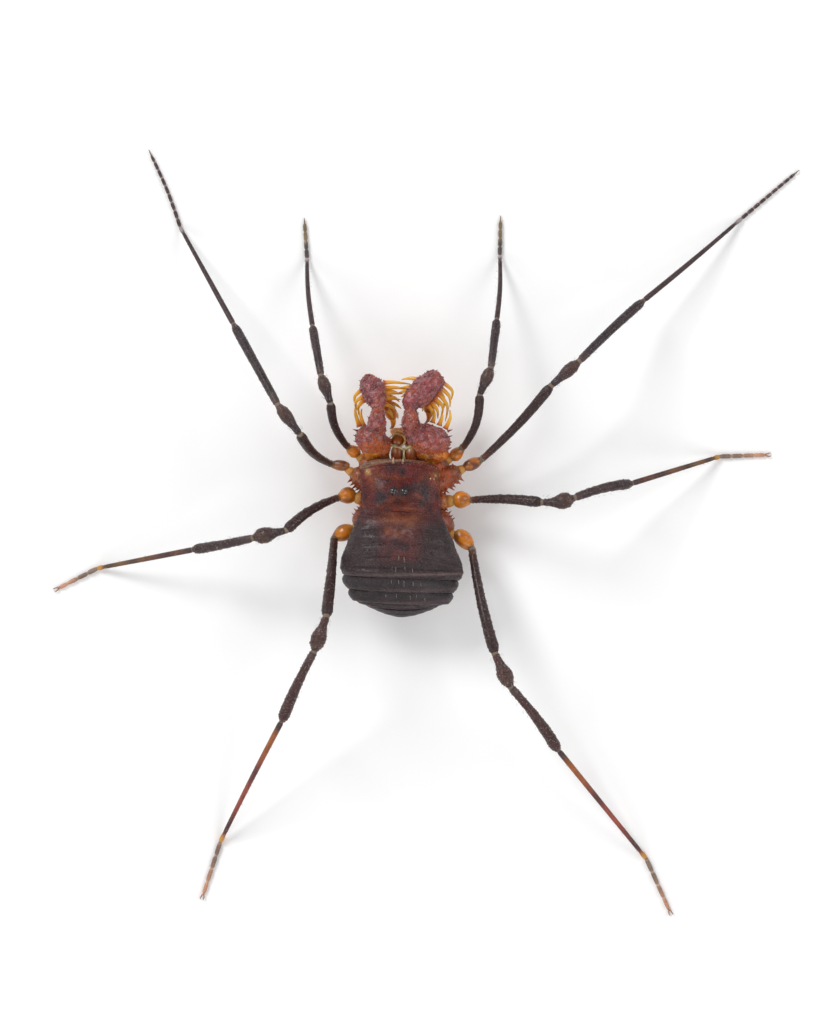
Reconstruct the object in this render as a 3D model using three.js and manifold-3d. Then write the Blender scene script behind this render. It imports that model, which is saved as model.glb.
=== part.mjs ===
// A short-legged armoured harvestman with spiny raptorial pedipalps, standing still, life size.
// Millimetres, +Z up. The head points along +Y and the animal's right side lies towards +X.
// The floor is Z = 0 and the origin lies on it, under the middle of the spread of the legs.
import * as THREE from "three";
import { mergeVertices } from "three/addons/utils/BufferGeometryUtils.js";
import Module from "manifold-3d";

const wasm = await Module();
wasm.setup();

// Driving sizes
const jointGap = 0.16; // clear space between two parts of the body that meet
const plateCut = 0.14; // width of the cuts between the plates of the abdomen
const eyeGap = 0.06; // clear space round an eye in its socket
const bodyX = -0.77; // the middle of the body lies left of the middle of the legs
const crossHeading = -2.6; // degrees: the plates' rear edges lie a little askew
const alongHeading = 91; // degrees: the way the head points
const sulcusY = 0.64; // furrow between the head shield and the abdomen
const abdomenCuts = [-1.34, -1.77, -2.15]; // furrows behind the dorsal shield
const cutLean = 0.25; // how far back each of those furrows runs for each unit down
const seed = 11;

// Colours from the photo
const colours = {
  shield: 0x6b2c28,
  abdomen: 0x3d2c2f,
  coxae: 0xb5552f,
  eye: 0x0b0b0d,
  chelicera: 0x6e3b1c,
  palp: 0x8c4848,
  palpPatella: 0x93452f,
  palpTarsus: 0xcc7a28,
  trochanter: 0xcc6f1a,
  femur: 0x3e2626,
  patella: 0x4b3a3c,
  tibia: 0x4b3a3c,
  foot: 0x8a5a44,
};

function material(colour, roughness) {
  return new THREE.MeshStandardMaterial({ color: colour, roughness, metalness: 0 });
}

const part = new THREE.Group();

function addNode(name, geometry, colour, roughness = 0.5) {
  const mesh = new THREE.Mesh(geometry, material(colour, roughness));
  mesh.name = name;
  part.add(mesh);
  return mesh;
}

// Small tools: numbers, places and directions

const radians = THREE.MathUtils.degToRad;
const up = new THREE.Vector3(0, 0, 1);

function place(x, y, z) {
  return new THREE.Vector3(x, y, z);
}

function between(a, b, share) {
  return a.clone().lerp(b, share);
}

function towards(a, b) {
  return b.clone().sub(a).normalize();
}

function headingVector(degrees) {
  return place(Math.cos(radians(degrees)), Math.sin(radians(degrees)), 0);
}

// A repeatable run of numbers between -1 and 1
function wobbler(start) {
  let state = start;
  return () => {
    state = (state * 16807) % 2147483647;
    return (state / 2147483647) * 2 - 1;
  };
}
const wobble = wobbler(seed);

// A smooth function through pairs of [position, value]
function through(pairs) {
  const order = [...pairs].sort((a, b) => a[0] - b[0]);
  return (at) => {
    if (at <= order[0][0]) return order[0][1];
    const last = order.length - 1;
    if (at >= order[last][0]) return order[last][1];
    let i = 0;
    while (at > order[i + 1][0]) i += 1;
    const share = (at - order[i][0]) / (order[i + 1][0] - order[i][0]);
    const eased = 0.5 * share + 0.5 * share * share * (3 - 2 * share);
    return THREE.MathUtils.lerp(order[i][1], order[i + 1][1], eased);
  };
}

// Shaping: every form is a capped cylinder or a sphere whose vertices are carried to their place

function onlyPositions(geometry) {
  geometry.deleteAttribute("normal");
  geometry.deleteAttribute("uv");
  const merged = mergeVertices(geometry, 1e-5);
  merged.clearGroups();
  return merged;
}

// rows: how many rings; carry(row, x, z) gives the place of the ring point (x, z) of the unit disc
function carriedCylinder(sides, rows, carry) {
  const turn = Math.PI / sides;
  const geometry = new THREE.CylinderGeometry(1, 1, 1, sides, rows - 1, false, turn);
  const position = geometry.attributes.position;
  for (let i = 0; i < position.count; i += 1) {
    const row = Math.round((0.5 - position.getY(i)) * (rows - 1));
    const point = carry(row, position.getX(i), position.getZ(i));
    position.setXYZ(i, point.x, point.y, point.z);
  }
  return onlyPositions(geometry);
}

// A tube of rings round a line of points. Each ring lies in the plane that halves the bend there,
// and faces gives the directions that the first and the last ring lie square to.
function tube(points, radii, sides, faces = {}) {
  const rows = points.length;
  const directions = points.slice(1).map((point, i) => towards(points[i], point));
  const rings = points.map((point, row) => {
    const before = directions[Math.max(row - 1, 0)];
    const after = directions[Math.min(row, rows - 2)];
    const along = before.clone().add(after).normalize();
    const level = Math.abs(along.z) > 0.9 ? headingVector(alongHeading) : up;
    const side = level.clone().cross(along).normalize();
    const top = along.clone().cross(side).normalize();
    let face = along;
    if (row === 0 && faces.first) face = faces.first;
    if (row === rows - 1 && faces.last) face = faces.last;
    return { point, along, side, top, face, radius: radii[row] };
  });
  return carriedCylinder(sides, rows, (row, x, z) => {
    const ring = rings[row];
    const out = ring.side.clone().multiplyScalar(x).addScaledVector(ring.top, z);
    out.multiplyScalar(ring.radius);
    const slide = -out.dot(ring.face) / ring.along.dot(ring.face);
    return ring.point.clone().add(out).addScaledVector(ring.along, slide);
  });
}

// A ball drawn out to three radii and turned to a heading
function blob(centre, radii, heading = 0, detail = 12) {
  const geometry = new THREE.SphereGeometry(1, detail, Math.round(detail * 0.7));
  geometry.rotateX(Math.PI / 2);
  geometry.scale(radii[0], radii[1], radii[2]);
  geometry.rotateZ(radians(heading));
  geometry.translate(centre.x, centre.y, centre.z);
  return onlyPositions(geometry);
}

// A tapering spine or tubercle that may curve towards a second direction on its way
function spine(root, direction, length, baseRadius, curve = null, sides = 5) {
  const shares = curve ? [0, 0.35, 0.7, 1] : [0, 1];
  const points = shares.map((share) => {
    const point = root.clone().addScaledVector(direction, length * share);
    if (curve) point.addScaledVector(curve, length * share * share);
    return point;
  });
  const tip = Math.min(0.03, baseRadius * 0.3);
  const radii = shares.map((share) => THREE.MathUtils.lerp(baseRadius, tip, share));
  return tube(points, radii, sides);
}

// Solids that are joined or cut

function solid(geometry) {
  const mesh = new wasm.Mesh({
    numProp: 3,
    vertProperties: new Float32Array(geometry.attributes.position.array),
    triVerts: new Uint32Array(geometry.index.array),
  });
  return new wasm.Manifold(mesh);
}

function geometryOf(manifold) {
  const mesh = manifold.getMesh();
  const geometry = new THREE.BufferGeometry();
  geometry.setAttribute("position", new THREE.BufferAttribute(mesh.vertProperties, 3));
  geometry.setIndex(new THREE.BufferAttribute(mesh.triVerts, 1));
  return geometry;
}

// Joins the forms, takes the cuts away and keeps the largest closed body
function fused(forms, cuts = []) {
  let whole = solid(forms[0]);
  for (const form of forms.slice(1)) whole = whole.add(solid(form));
  for (const cut of cuts) whole = whole.subtract(solid(cut));
  const bodies = whole.decompose();
  bodies.sort((a, b) => b.volume() - a.volume());
  return geometryOf(bodies[0]);
}

// Places on the body: across to the animal's right, along to its head, height above the floor
const across = headingVector(crossHeading);
const along = headingVector(alongHeading);

function bodyPlace(acrossMm, alongMm, height) {
  const point = place(bodyX, 0, height);
  return point.addScaledVector(across, acrossMm).addScaledVector(along, alongMm);
}

// The body's outline and profile, as functions of the distance along it
const halfWidth = through([
  [2.15, 0.45], [2.08, 0.82], [1.98, 1.06], [1.86, 1.18], [1.45, 1.19], [1.1, 1.17],
  [0.8, 1.17], [0.5, 1.23], [0.2, 1.37], [-0.3, 1.58], [-0.9, 1.8], [-1.12, 1.82],
  [-1.28, 1.72], [-1.36, 1.68], [-1.5, 1.73], [-1.68, 1.64], [-1.78, 1.54], [-1.92, 1.52],
  [-2.06, 1.41], [-2.15, 1.2], [-2.3, 0.86], [-2.42, 0.52], [-2.53, 0.16],
]);
const topHeight = through([
  [2.15, 1.95], [2.0, 2.08], [1.5, 2.22], [0.9, 2.3], [0.6, 2.28], [0.3, 2.45],
  [-0.2, 2.72], [-0.7, 2.8], [-1.1, 2.72], [-1.34, 2.5], [-1.5, 2.5], [-1.77, 2.22],
  [-1.9, 2.2], [-2.15, 1.85], [-2.4, 1.55], [-2.53, 1.36],
]);
const shieldUnderside = 1.74;
const underHeight = through([
  [0.6, shieldUnderside], [-0.1, shieldUnderside], [-0.25, 1.5], [-0.5, 1.05],
  [-0.85, 0.92], [-1.6, 0.92], [-2.2, 1.0], [-2.53, 1.14],
]);
const marginHeight = through([
  [2.15, 1.84], [1.0, 1.9], [-0.2, 1.98], [-1.1, 1.85], [-1.8, 1.6], [-2.53, 1.25],
]);
const flatness = 2.4; // 2 is an ellipse, more is boxier

function bodyLength(front, rear, rows, sides, underside) {
  return carriedCylinder(sides, rows, (row, x, z) => {
    const share = row / (rows - 1);
    const at = THREE.MathUtils.lerp(front, rear, share);
    const reach = Math.hypot(x, z);
    const angle = Math.atan2(z, x);
    const margin = marginHeight(at);
    const rise = Math.sin(angle) > 0 ? topHeight(at) - margin : margin - underside(at);
    const sideways = Math.sign(x) * Math.abs(Math.cos(angle)) ** (2 / flatness);
    const upwards = Math.sign(z) * Math.abs(Math.sin(angle)) ** (2 / flatness);
    if (reach < 0.5) return bodyPlace(0, at, margin);
    return bodyPlace(halfWidth(at) * sideways, at, margin + rise * upwards);
  });
}

// Head shield with the low mound that carries the eyes
const eyeAcross = 0.16;
const eyeAlong = 1.2;
const eyeHeight = 2.53;
const eyeRadius = 0.12;
const moundAcross = -0.05;

function makeHeadShield() {
  const shell = bodyLength(2.15, sulcusY + plateCut / 2, 13, 24, () => shieldUnderside);
  const mound = blob(bodyPlace(moundAcross, eyeAlong - 0.04, 2.24), [0.42, 0.36, 0.38]);
  const rimTubercles = [-0.14, 0.14].map((offset) => {
    const root = bodyPlace(moundAcross + offset, 2.04, 1.9);
    return spine(root, place(0, 0.9, 0.35).normalize(), 0.2, 0.08);
  });
  const eyes = [-1, 1].map((side) => {
    const centre = bodyPlace(moundAcross + side * eyeAcross, eyeAlong, eyeHeight);
    return { side, centre };
  });
  const sockets = eyes.map((eye) => blob(eye.centre, Array(3).fill(eyeRadius + eyeGap)));
  addNode("head_shield", fused([shell, mound, ...rimTubercles], sockets), colours.shield, 0.35);
  for (const eye of eyes) {
    const name = eye.side < 0 ? "eye_left" : "eye_right";
    addNode(name, blob(eye.centre, Array(3).fill(eyeRadius)), colours.eye, 0.1);
  }
}

// Abdomen: one form parted into the dorsal shield, two free plates and the end plate
function makeAbdomen() {
  const form = solid(bodyLength(sulcusY - plateCut / 2, -2.53, 34, 28, underHeight));
  const cutHeight = 1.7;
  let parted = form;
  for (const cutY of abdomenCuts) {
    const slab = new THREE.BoxGeometry(6, plateCut, 6);
    slab.rotateX(Math.atan(cutLean));
    slab.rotateZ(radians(crossHeading));
    const middle = bodyPlace(0, cutY, cutHeight);
    slab.translate(middle.x, middle.y, middle.z);
    parted = parted.subtract(solid(onlyPositions(slab)));
  }
  const names = ["abdomen_shield", "free_tergite_1", "free_tergite_2", "anal_plate"];
  const bodies = parted.decompose();
  bodies.sort((a, b) => b.volume() - a.volume());
  const kept = bodies.slice(0, names.length);
  const middleY = (body) => (body.boundingBox().min[1] + body.boundingBox().max[1]) / 2;
  kept.sort((a, b) => middleY(b) - middleY(a));
  kept.forEach((body, i) => addNode(names[i], geometryOf(body), colours.abdomen, 0.6));
}

// Legs
// hip: the middle of the trochanter; the lists run femur, patella, tibia, metatarsus, tarsus
const hipHeight = 1.3;
const legThickness = 0.5;
const legs = [
  {
    name: "leg_1_left", hip: [-2.2, 2.41], headings: [115, 109, 100, 95, 94],
    reaches: [1.54, 0.87, 1.49, 2.06, 1.05], bow: 0.13, heights: [2.7, 2.6, 1.75],
    trochanter: 0.22, swell: 1.0,
  },
  {
    name: "leg_1_right", hip: [0.89, 2.33], headings: [69, 67, 83, 87, 89],
    reaches: [1.86, 0.86, 1.45, 1.94, 1.03], bow: -0.16, heights: [2.3, 2.3, 1.5],
    trochanter: 0.23, swell: 1.0,
  },
  {
    name: "leg_2_left", hip: [-2.59, 1.98], headings: [142, 127, 119, 119, 112],
    reaches: [1.47, 1.07, 2.75, 3.36, 2.33], bow: 0.13, heights: [3.9, 3.85, 2.1],
    trochanter: 0.23, swell: 1.0,
  },
  {
    name: "leg_2_right", hip: [1.37, 2.03], headings: [45, 41, 42, 40, 40],
    reaches: [3.26, 1.08, 2.66, 3.85, 2.08], bow: -0.04, heights: [2.5, 2.5, 1.1],
    trochanter: 0.25, swell: 1.0,
  },
  {
    name: "leg_3_left", hip: [-2.39, 1.08], headings: [210, 193, 191, 191, 207],
    reaches: [2.06, 0.99, 1.82, 2.94, 1.31], bow: -0.16, heights: [2.75, 2.7, 1.5],
    trochanter: 0.27, swell: 1.1,
  },
  {
    name: "leg_3_right", hip: [1.05, 0.96], headings: [358, 8, 14, 17, 2],
    reaches: [2.35, 0.97, 1.77, 2.76, 1.38], bow: 0.06, heights: [2.45, 2.45, 1.35],
    trochanter: 0.27, swell: 1.1,
  },
  {
    name: "leg_4_left", hip: [-2.5, -0.04], headings: [259, 251, 245, 243, 252],
    reaches: [2.49, 1.08, 2.3, 4.09, 1.65], bow: -0.21, heights: [3.5, 3.4, 2.05],
    trochanter: 0.3, swell: 1.1,
  },
  {
    name: "leg_4_right", hip: [1.11, -0.24], headings: [285, 295, 307, 309, 294],
    reaches: [3.48, 1.08, 2.37, 4.19, 1.69], bow: 0.15, heights: [2.45, 2.45, 1.3],
    trochanter: 0.31, swell: 1.1,
  },
];
const legSides = 8;
const flatShare = Math.cos(Math.PI / legSides); // an eight-sided ring's flat lies this far out
const footRadius = 0.23;
const tipRadius = 0.13;

// The places of a leg's joints, from the hip to the tip of the tarsus
function legJoints(leg) {
  const heights = [...leg.heights, footRadius * flatShare, tipRadius * flatShare];
  const joints = [place(leg.hip[0], leg.hip[1], hipHeight)];
  leg.headings.forEach((heading, i) => {
    const next = joints[i].clone().addScaledVector(headingVector(heading), leg.reaches[i]);
    next.z = heights[i];
    joints.push(next);
  });
  return joints;
}

// The plane in which two lengths of a leg meet
function meeting(joints, i) {
  return towards(joints[i - 1], joints[i]).add(towards(joints[i], joints[i + 1])).normalize();
}

// A leg's length: stations are [share of the way, radius]; bow bends it to its left
function legLength(from, to, stations, faces, bow = 0, arch = 0) {
  const left = up.clone().cross(towards(from, to)).normalize();
  const points = stations.map(([share]) => {
    const point = between(from, to, share);
    const belly = Math.sin(Math.PI * share);
    return point.addScaledVector(left, bow * belly).addScaledVector(up, arch * belly);
  });
  const radii = stations.map((station) => station[1]);
  return tube(points, radii, legSides, faces);
}

// Shortens a length of leg at one or both of its ends
function trimmed(from, to, fromTrim, toTrim) {
  const direction = towards(from, to);
  const start = from.clone().addScaledVector(direction, fromTrim);
  const end = to.clone().addScaledVector(direction, -toTrim);
  return [start, end];
}

function makeLeg(leg) {
  const joints = legJoints(leg);
  const [hip, knee, patellaEnd, tibiaEnd, ankle, tip] = joints;
  const thin = legThickness / 2;
  const half = jointGap / 2;
  const thick = thin * leg.swell;

  const ballRadii = [leg.trochanter * 1.08, leg.trochanter, leg.trochanter];
  const ball = blob(hip, ballRadii, leg.headings[0]);
  addNode(`${leg.name}_trochanter`, ball, colours.trochanter, 0.35);

  const kneeFace = meeting(joints, 1);
  const patellaFace = meeting(joints, 2);
  const tibiaFace = meeting(joints, 3);

  const [femurFrom, femurTo] = trimmed(hip, knee, leg.trochanter * 1.08 + jointGap, half);
  const femurStations = [
    [0, thin * 0.8], [0.12, thin * 0.95], [0.35, thin], [0.62, thin], [0.88, thick], [1, thick * 0.94],
  ];
  const femur = legLength(femurFrom, femurTo, femurStations, { last: kneeFace }, leg.bow, 0.12);
  addNode(`${leg.name}_femur`, femur, colours.femur, 0.5);

  const [patellaFrom, patellaTo] = trimmed(knee, patellaEnd, half, half);
  const patellaStations = [
    [0, thin * 0.94], [0.35, thin * 1.05], [0.66, thick * 1.14], [0.9, thin * 1.04], [1, thin * 0.94],
  ];
  const patellaFaces = { first: kneeFace, last: patellaFace };
  const patella = legLength(patellaFrom, patellaTo, patellaStations, patellaFaces);
  addNode(`${leg.name}_patella`, patella, colours.patella, 0.5);

  const [tibiaFrom, tibiaTo] = trimmed(patellaEnd, tibiaEnd, half, half);
  const tibiaStations = [[0, thin * 0.9], [0.12, thin], [0.6, thin], [0.88, thick], [1, thin * 0.94]];
  const tibia = legLength(tibiaFrom, tibiaTo, tibiaStations, { first: patellaFace, last: tibiaFace });
  addNode(`${leg.name}_tibia`, tibia, colours.tibia, 0.5);

  makeFoot(leg, tibiaEnd, ankle, tip, tibiaFace);
}

// Metatarsus and tarsus: one tube that comes down to the ankle and then lies flat on the floor
function makeFoot(leg, tibiaEnd, ankle, tip, face) {
  const start = trimmed(tibiaEnd, ankle, jointGap / 2, 0)[0];
  const thin = legThickness / 2;
  const rows = [
    [start, thin * 0.92],
    [between(start, ankle, 0.12), thin],
    [between(start, ankle, 0.6), thin * 0.96],
    [ankle, footRadius],
  ];
  for (const share of [0.35, 0.7, 0.92, 1]) {
    const radius = THREE.MathUtils.lerp(footRadius, tipRadius, share ** 2);
    const point = between(ankle, tip, share);
    point.z = radius * flatShare;
    rows.push([point, radius]);
  }
  const points = rows.map((row) => row[0]);
  const radii = rows.map((row) => row[1]);
  addNode(`${leg.name}_foot`, tube(points, radii, legSides, { first: face }), colours.foot, 0.5);
}

// Coxae: the lobes that carry the legs and pedipalps, joined round the breastplate under the shield
const palpCoxae = [
  { name: "palp_left", hip: [-1.32, 2.5], trochanter: 0.16 },
  { name: "palp_right", hip: [0.06, 2.46], trochanter: 0.16 },
];
const coxaRoots = { palp: 1.6, leg_1: 1.35, leg_2: 1.1, leg_3: 0.8, leg_4: 0.5 };
const coxaSizes = { palp: 0.3, leg_1: 0.31, leg_2: 0.33, leg_3: 0.34, leg_4: 0.36 };
const coxaTubercles = { palp: 0, leg_1: 2, leg_2: 4, leg_3: 1, leg_4: 4 };
const tubercleSide = { leg_1: 1, leg_2: -1, leg_3: 1, leg_4: 1 };
const coxaHeight = 1.24;

function makeCoxae() {
  const forms = [blob(bodyPlace(0, 0.95, 1.2), [0.85, 1.05, 0.36], 0, 14)];
  for (const owner of [...legs, ...palpCoxae]) {
    const kind = owner.name.startsWith("palp") ? "palp" : owner.name.slice(0, 5);
    const side = owner.name.endsWith("left") ? -1 : 1;
    const root = bodyPlace(side * 0.3, coxaRoots[kind], coxaHeight - 0.06);
    const hip = place(owner.hip[0], owner.hip[1], hipHeight - 0.03);
    const size = coxaSizes[kind];
    const end = trimmed(root, hip, 0, owner.trochanter * 1.08 + jointGap)[1];
    const stations = [[0, size], [0.5, size * 1.08], [0.85, size * 0.9], [1, size * 0.62]];
    const points = stations.map(([share]) => between(root, end, share));
    forms.push(tube(points, stations.map((station) => station[1]), 8));
    const direction = towards(root, end);
    const flank = up.clone().cross(direction).multiplyScalar(-side * (tubercleSide[kind] ?? 1));
    for (let i = 0; i < coxaTubercles[kind]; i += 1) {
      const share = 0.62 + (0.34 * (i + 0.5)) / coxaTubercles[kind] + 0.02 * wobble();
      const at = between(root, end, share).addScaledVector(flank, size * 0.55);
      const aim = flank.clone().addScaledVector(direction, 0.35 + 0.15 * wobble()).normalize();
      forms.push(spine(at, aim, 0.34 + 0.05 * wobble(), 0.11));
    }
  }
  addNode("coxae", fused(forms), colours.coxae, 0.45);
}

// Chelicerae: a stalk that comes forward from under the shield, with the hand hanging at its end
function makeChelicera(name, x, handX, handHeight) {
  const stalk = tube(
    [place(x, 2.12, 1.42), place(x, 2.22, 1.43), place(x, 2.42, 1.41), place(x, 2.62, 1.34)],
    [0.12, 0.15, 0.16, 0.14], 8,
  );
  const hand = blob(place(handX, 2.68, handHeight), [0.19, 0.15, 0.3], 0, 10);
  const fingers = [-0.07, 0.07].map((offset) => {
    const root = place(handX + offset, 2.7, handHeight - 0.16);
    return spine(root, place(0, 0.1, -1).normalize(), 0.34, 0.07);
  });
  addNode(name, fused([stalk, hand, ...fingers]), colours.chelicera, 0.3);
}

// Pedipalps: the swollen femur rises from its trochanter, the patella and tibia reach forward
// above the mouth, and the tarsus is folded back beneath with its claw
const palpSpines = { base: 0.1, long: 0.72, short: 0.42 };
const palps = [
  {
    name: "palp_left", side: -1,
    trochanter: [-1.32, 2.5, 1.3],
    femur: { centre: [-1.65, 2.82, 1.85], radii: [0.48, 0.4, 0.5], heading: 0 },
    knee: [-1.5, 3.13, 2.25],
    patella: { from: [-1.49, 3.22, 2.38], to: [-1.45, 3.66, 2.44] },
    tibia: { to: [-1.62, 4.66, 2.0], width: 0.39 },
    tarsus: { from: [-1.52, 4.3, 1.32], to: [-1.06, 3.42, 1.2], claw: [-1.02, 3.08, 1.12] },
  },
  {
    name: "palp_right", side: 1,
    trochanter: [0.1, 2.46, 1.3],
    femur: { centre: [0.04, 2.78, 1.88], radii: [0.66, 0.42, 0.5], heading: -16 },
    knee: [-0.42, 3.1, 2.2],
    patella: { from: [-0.48, 3.24, 2.34], to: [-0.46, 3.72, 2.4] },
    tibia: { to: [0.4, 4.74, 1.98], width: 0.39 },
    tarsus: { from: [0.22, 4.42, 1.3], to: [0.08, 3.62, 1.2], claw: [0.0, 3.28, 1.12] },
  },
];

function point3(list) {
  return place(list[0], list[1], list[2]);
}

function makePalp(palp) {
  const { side } = palp;
  const outward = place(side, 0, 0);
  const inward = place(-side, 0, 0);

  // Femur with its trochanter, and the long spines that rise from its outer front edge
  const centre = point3(palp.femur.centre);
  const knee = point3(palp.knee);
  const [wide, long] = palp.femur.radii;
  const femurForms = [
    blob(point3(palp.trochanter), [0.24, 0.24, 0.26], 0, 10),
    blob(centre, palp.femur.radii, palp.femur.heading, 14),
    tube([between(centre, knee, 0.1), between(centre, knee, 0.6), knee], [0.3, 0.3, 0.25], 10),
  ];
  for (let i = 0; i < 3; i += 1) {
    const root = centre.clone().addScaledVector(outward, wide * (0.72 - 0.24 * i));
    root.add(place(0, long * (0.3 + 0.16 * i), -0.1));
    const aim = place(side * (0.28 - 0.12 * i), 1, -0.12).normalize();
    const length = palpSpines.long * (0.95 - 0.1 * i);
    femurForms.push(spine(root, aim, length, palpSpines.base, inward.clone().multiplyScalar(0.18)));
  }
  for (let i = 0; i < 3; i += 1) {
    const root = centre.clone().addScaledVector(outward, wide * 0.7);
    root.add(place(0, long * (0.3 - 0.45 * i), 0.02 * wobble()));
    const aim = place(side, 0.25 + 0.1 * wobble(), 0.1).normalize();
    femurForms.push(spine(root, aim, wide * 0.3 + 0.2, 0.08));
  }
  addNode(`${palp.name}_femur`, fused(femurForms), colours.palp, 0.6);

  // Patella
  const patellaFrom = point3(palp.patella.from);
  const patellaTo = point3(palp.patella.to);
  const tibiaTo = point3(palp.tibia.to);
  const patellaPoints = [0, 0.4, 0.75, 1].map((share) => between(patellaFrom, patellaTo, share));
  const kneeFace = towards(centre, knee).add(towards(patellaFrom, patellaTo)).normalize();
  const elbowFace = towards(patellaFrom, patellaTo).add(towards(patellaTo, tibiaTo)).normalize();
  const patellaFaces = { first: kneeFace, last: elbowFace };
  const patella = tube(patellaPoints, [0.25, 0.24, 0.19, 0.17], 10, patellaFaces);
  addNode(`${palp.name}_patella`, patella, colours.palpPatella, 0.6);

  // Tibia, swollen, with spines along both sides beneath
  const tibiaFrom = patellaTo.clone().addScaledVector(elbowFace, jointGap);
  const { width } = palp.tibia;
  const tibiaStations = [
    [0, 0.18], [0.14, 0.3], [0.36, width], [0.7, width], [0.9, width * 0.8], [1, width * 0.45],
  ];
  const tibiaPoints = tibiaStations.map(([share]) => between(tibiaFrom, tibiaTo, share));
  const tibiaForms = [tube(tibiaPoints, tibiaStations.map((s) => s[1]), 12, { first: elbowFace })];
  const tibiaWay = towards(tibiaFrom, tibiaTo);
  const tibiaLeft = up.clone().cross(tibiaWay).normalize();
  const tibiaOut = tibiaLeft.clone().multiplyScalar(-side);
  for (const [count, sideways, curve] of [[3, 1, -0.55], [4, -1, -0.05]]) {
    for (let i = 0; i < count; i += 1) {
      const share = 0.34 + (0.5 * i) / (count - 1);
      const flank = tibiaOut.clone().multiplyScalar(sideways);
      const root = between(tibiaFrom, tibiaTo, share).addScaledVector(flank, width * 0.62);
      root.z -= width * 0.3;
      const aim = flank.clone().add(place(0, 0, -0.35)).normalize();
      const bend = tibiaWay.clone().multiplyScalar(curve).addScaledVector(flank, curve);
      const length = palpSpines.long * (0.82 + 0.18 * share);
      tibiaForms.push(spine(root, aim, length, palpSpines.base, bend));
    }
  }
  addNode(`${palp.name}_tibia`, fused(tibiaForms), colours.palp, 0.6);

  // Tarsus folded back beneath, with its claw and short spines
  const tarsusFrom = point3(palp.tarsus.from);
  const tarsusTo = point3(palp.tarsus.to);
  const claw = point3(palp.tarsus.claw);
  const tarsusRows = [[0, 0.16], [0.2, 0.21], [0.7, 0.2], [1, 0.13]];
  const tarsusPoints = tarsusRows.map(([share]) => between(tarsusFrom, tarsusTo, share));
  const tarsusForms = [
    tube(tarsusPoints, tarsusRows.map((row) => row[1]), 10),
    spine(between(tarsusFrom, tarsusTo, 0.95), towards(tarsusTo, claw), 0.42, 0.11),
  ];
  const tarsusWay = towards(tarsusFrom, tarsusTo);
  const tarsusLeft = up.clone().cross(tarsusWay).normalize();
  for (const flank of [tarsusLeft, tarsusLeft.clone().negate()]) {
    for (const share of [0.35, 0.75]) {
      const root = between(tarsusFrom, tarsusTo, share).addScaledVector(flank, 0.08);
      const aim = flank.clone().add(place(0, 0, -0.3)).addScaledVector(tarsusWay, 0.3).normalize();
      tarsusForms.push(spine(root, aim, palpSpines.short, 0.08));
    }
  }
  addNode(`${palp.name}_tarsus`, fused(tarsusForms), colours.palpTarsus, 0.4);
}

makeHeadShield();
makeAbdomen();
makeCoxae();
legs.forEach(makeLeg);
makeChelicera("chelicera_left", -0.88, -0.88, 1.34);
makeChelicera("chelicera_right", -0.47, -0.5, 1.18);
palps.forEach(makePalp);

export default part;
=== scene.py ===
"""A short-legged armoured harvestman, life size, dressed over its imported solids."""

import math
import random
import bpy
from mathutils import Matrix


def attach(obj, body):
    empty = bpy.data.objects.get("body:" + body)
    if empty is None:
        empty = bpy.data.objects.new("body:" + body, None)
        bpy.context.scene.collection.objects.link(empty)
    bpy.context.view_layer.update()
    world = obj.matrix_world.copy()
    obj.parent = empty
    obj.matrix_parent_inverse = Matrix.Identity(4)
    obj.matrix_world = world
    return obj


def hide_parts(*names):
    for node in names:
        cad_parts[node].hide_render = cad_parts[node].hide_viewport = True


bl_info = {
    "name": "Armoured harvestman",
    "version": (1, 0, 0),
    "blender": (4, 5, 0),
    "location": "View3D > Sidebar > Harvestman",
    "description": "Models a still, life-size harvestman with spiny pedipalps, plate by plate",
    "category": "Object",
}

from collections import namedtuple

import bpy
import numpy as np
from bpy.props import FloatProperty, FloatVectorProperty, IntProperty, PointerProperty
from mathutils import Matrix, Vector, noise
from mathutils.kdtree import KDTree

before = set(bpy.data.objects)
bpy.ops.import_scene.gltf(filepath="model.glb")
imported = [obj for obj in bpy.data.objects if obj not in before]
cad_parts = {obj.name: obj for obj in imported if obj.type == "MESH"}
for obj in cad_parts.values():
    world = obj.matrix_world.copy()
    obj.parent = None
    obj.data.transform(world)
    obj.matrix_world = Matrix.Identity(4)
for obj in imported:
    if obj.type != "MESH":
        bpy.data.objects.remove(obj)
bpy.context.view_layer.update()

# Pieces are modelled in millimetres and brought to metres when they are finished
MM = 0.001

# The body's own directions: the plates lie a little askew to the way the head points
BODY_X = -0.77
CROSS_HEADING = -2.6
ALONG_HEADING = 91.0
# The furrow between the head shield and the abdomen, and half its width
SULCUS = 0.64
SULCUS_GAP = 0.03
UP = Vector((0, 0, 1))


def colour(text):
    """A linear colour from the hexadecimal form that a picture editor shows."""
    parts = [int(text[i : i + 2], 16) / 255 for i in (0, 2, 4)]
    return tuple(part / 12.92 if part <= 0.04045 else ((part + 0.055) / 1.055) ** 2.4 for part in parts)


def blended(a, b, share):
    """The mix of two colours: a where share is 0, b where it is 1."""
    share = min(max(share, 0.0), 1.0)
    return tuple(x + (y - x) * share for x, y in zip(a, b))


def fading(a, b):
    """The colours from a to b along a strand, by the share of its length."""
    return lambda share: blended(a, b, share)


def vectors(*rows):
    """Places or directions from rows of three numbers."""
    return [Vector(row) for row in rows]


def heading_vector(degrees):
    """A level direction, counted anticlockwise from the picture's right."""
    return Vector((math.cos(math.radians(degrees)), math.sin(math.radians(degrees)), 0))


ACROSS = heading_vector(CROSS_HEADING)
ALONG = heading_vector(ALONG_HEADING)


def body_place(across, along, height):
    """A place on the body: to the animal's right, towards its head, and above the floor."""
    return Vector((BODY_X, 0, height)) + ACROSS * across + ALONG * along


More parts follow.
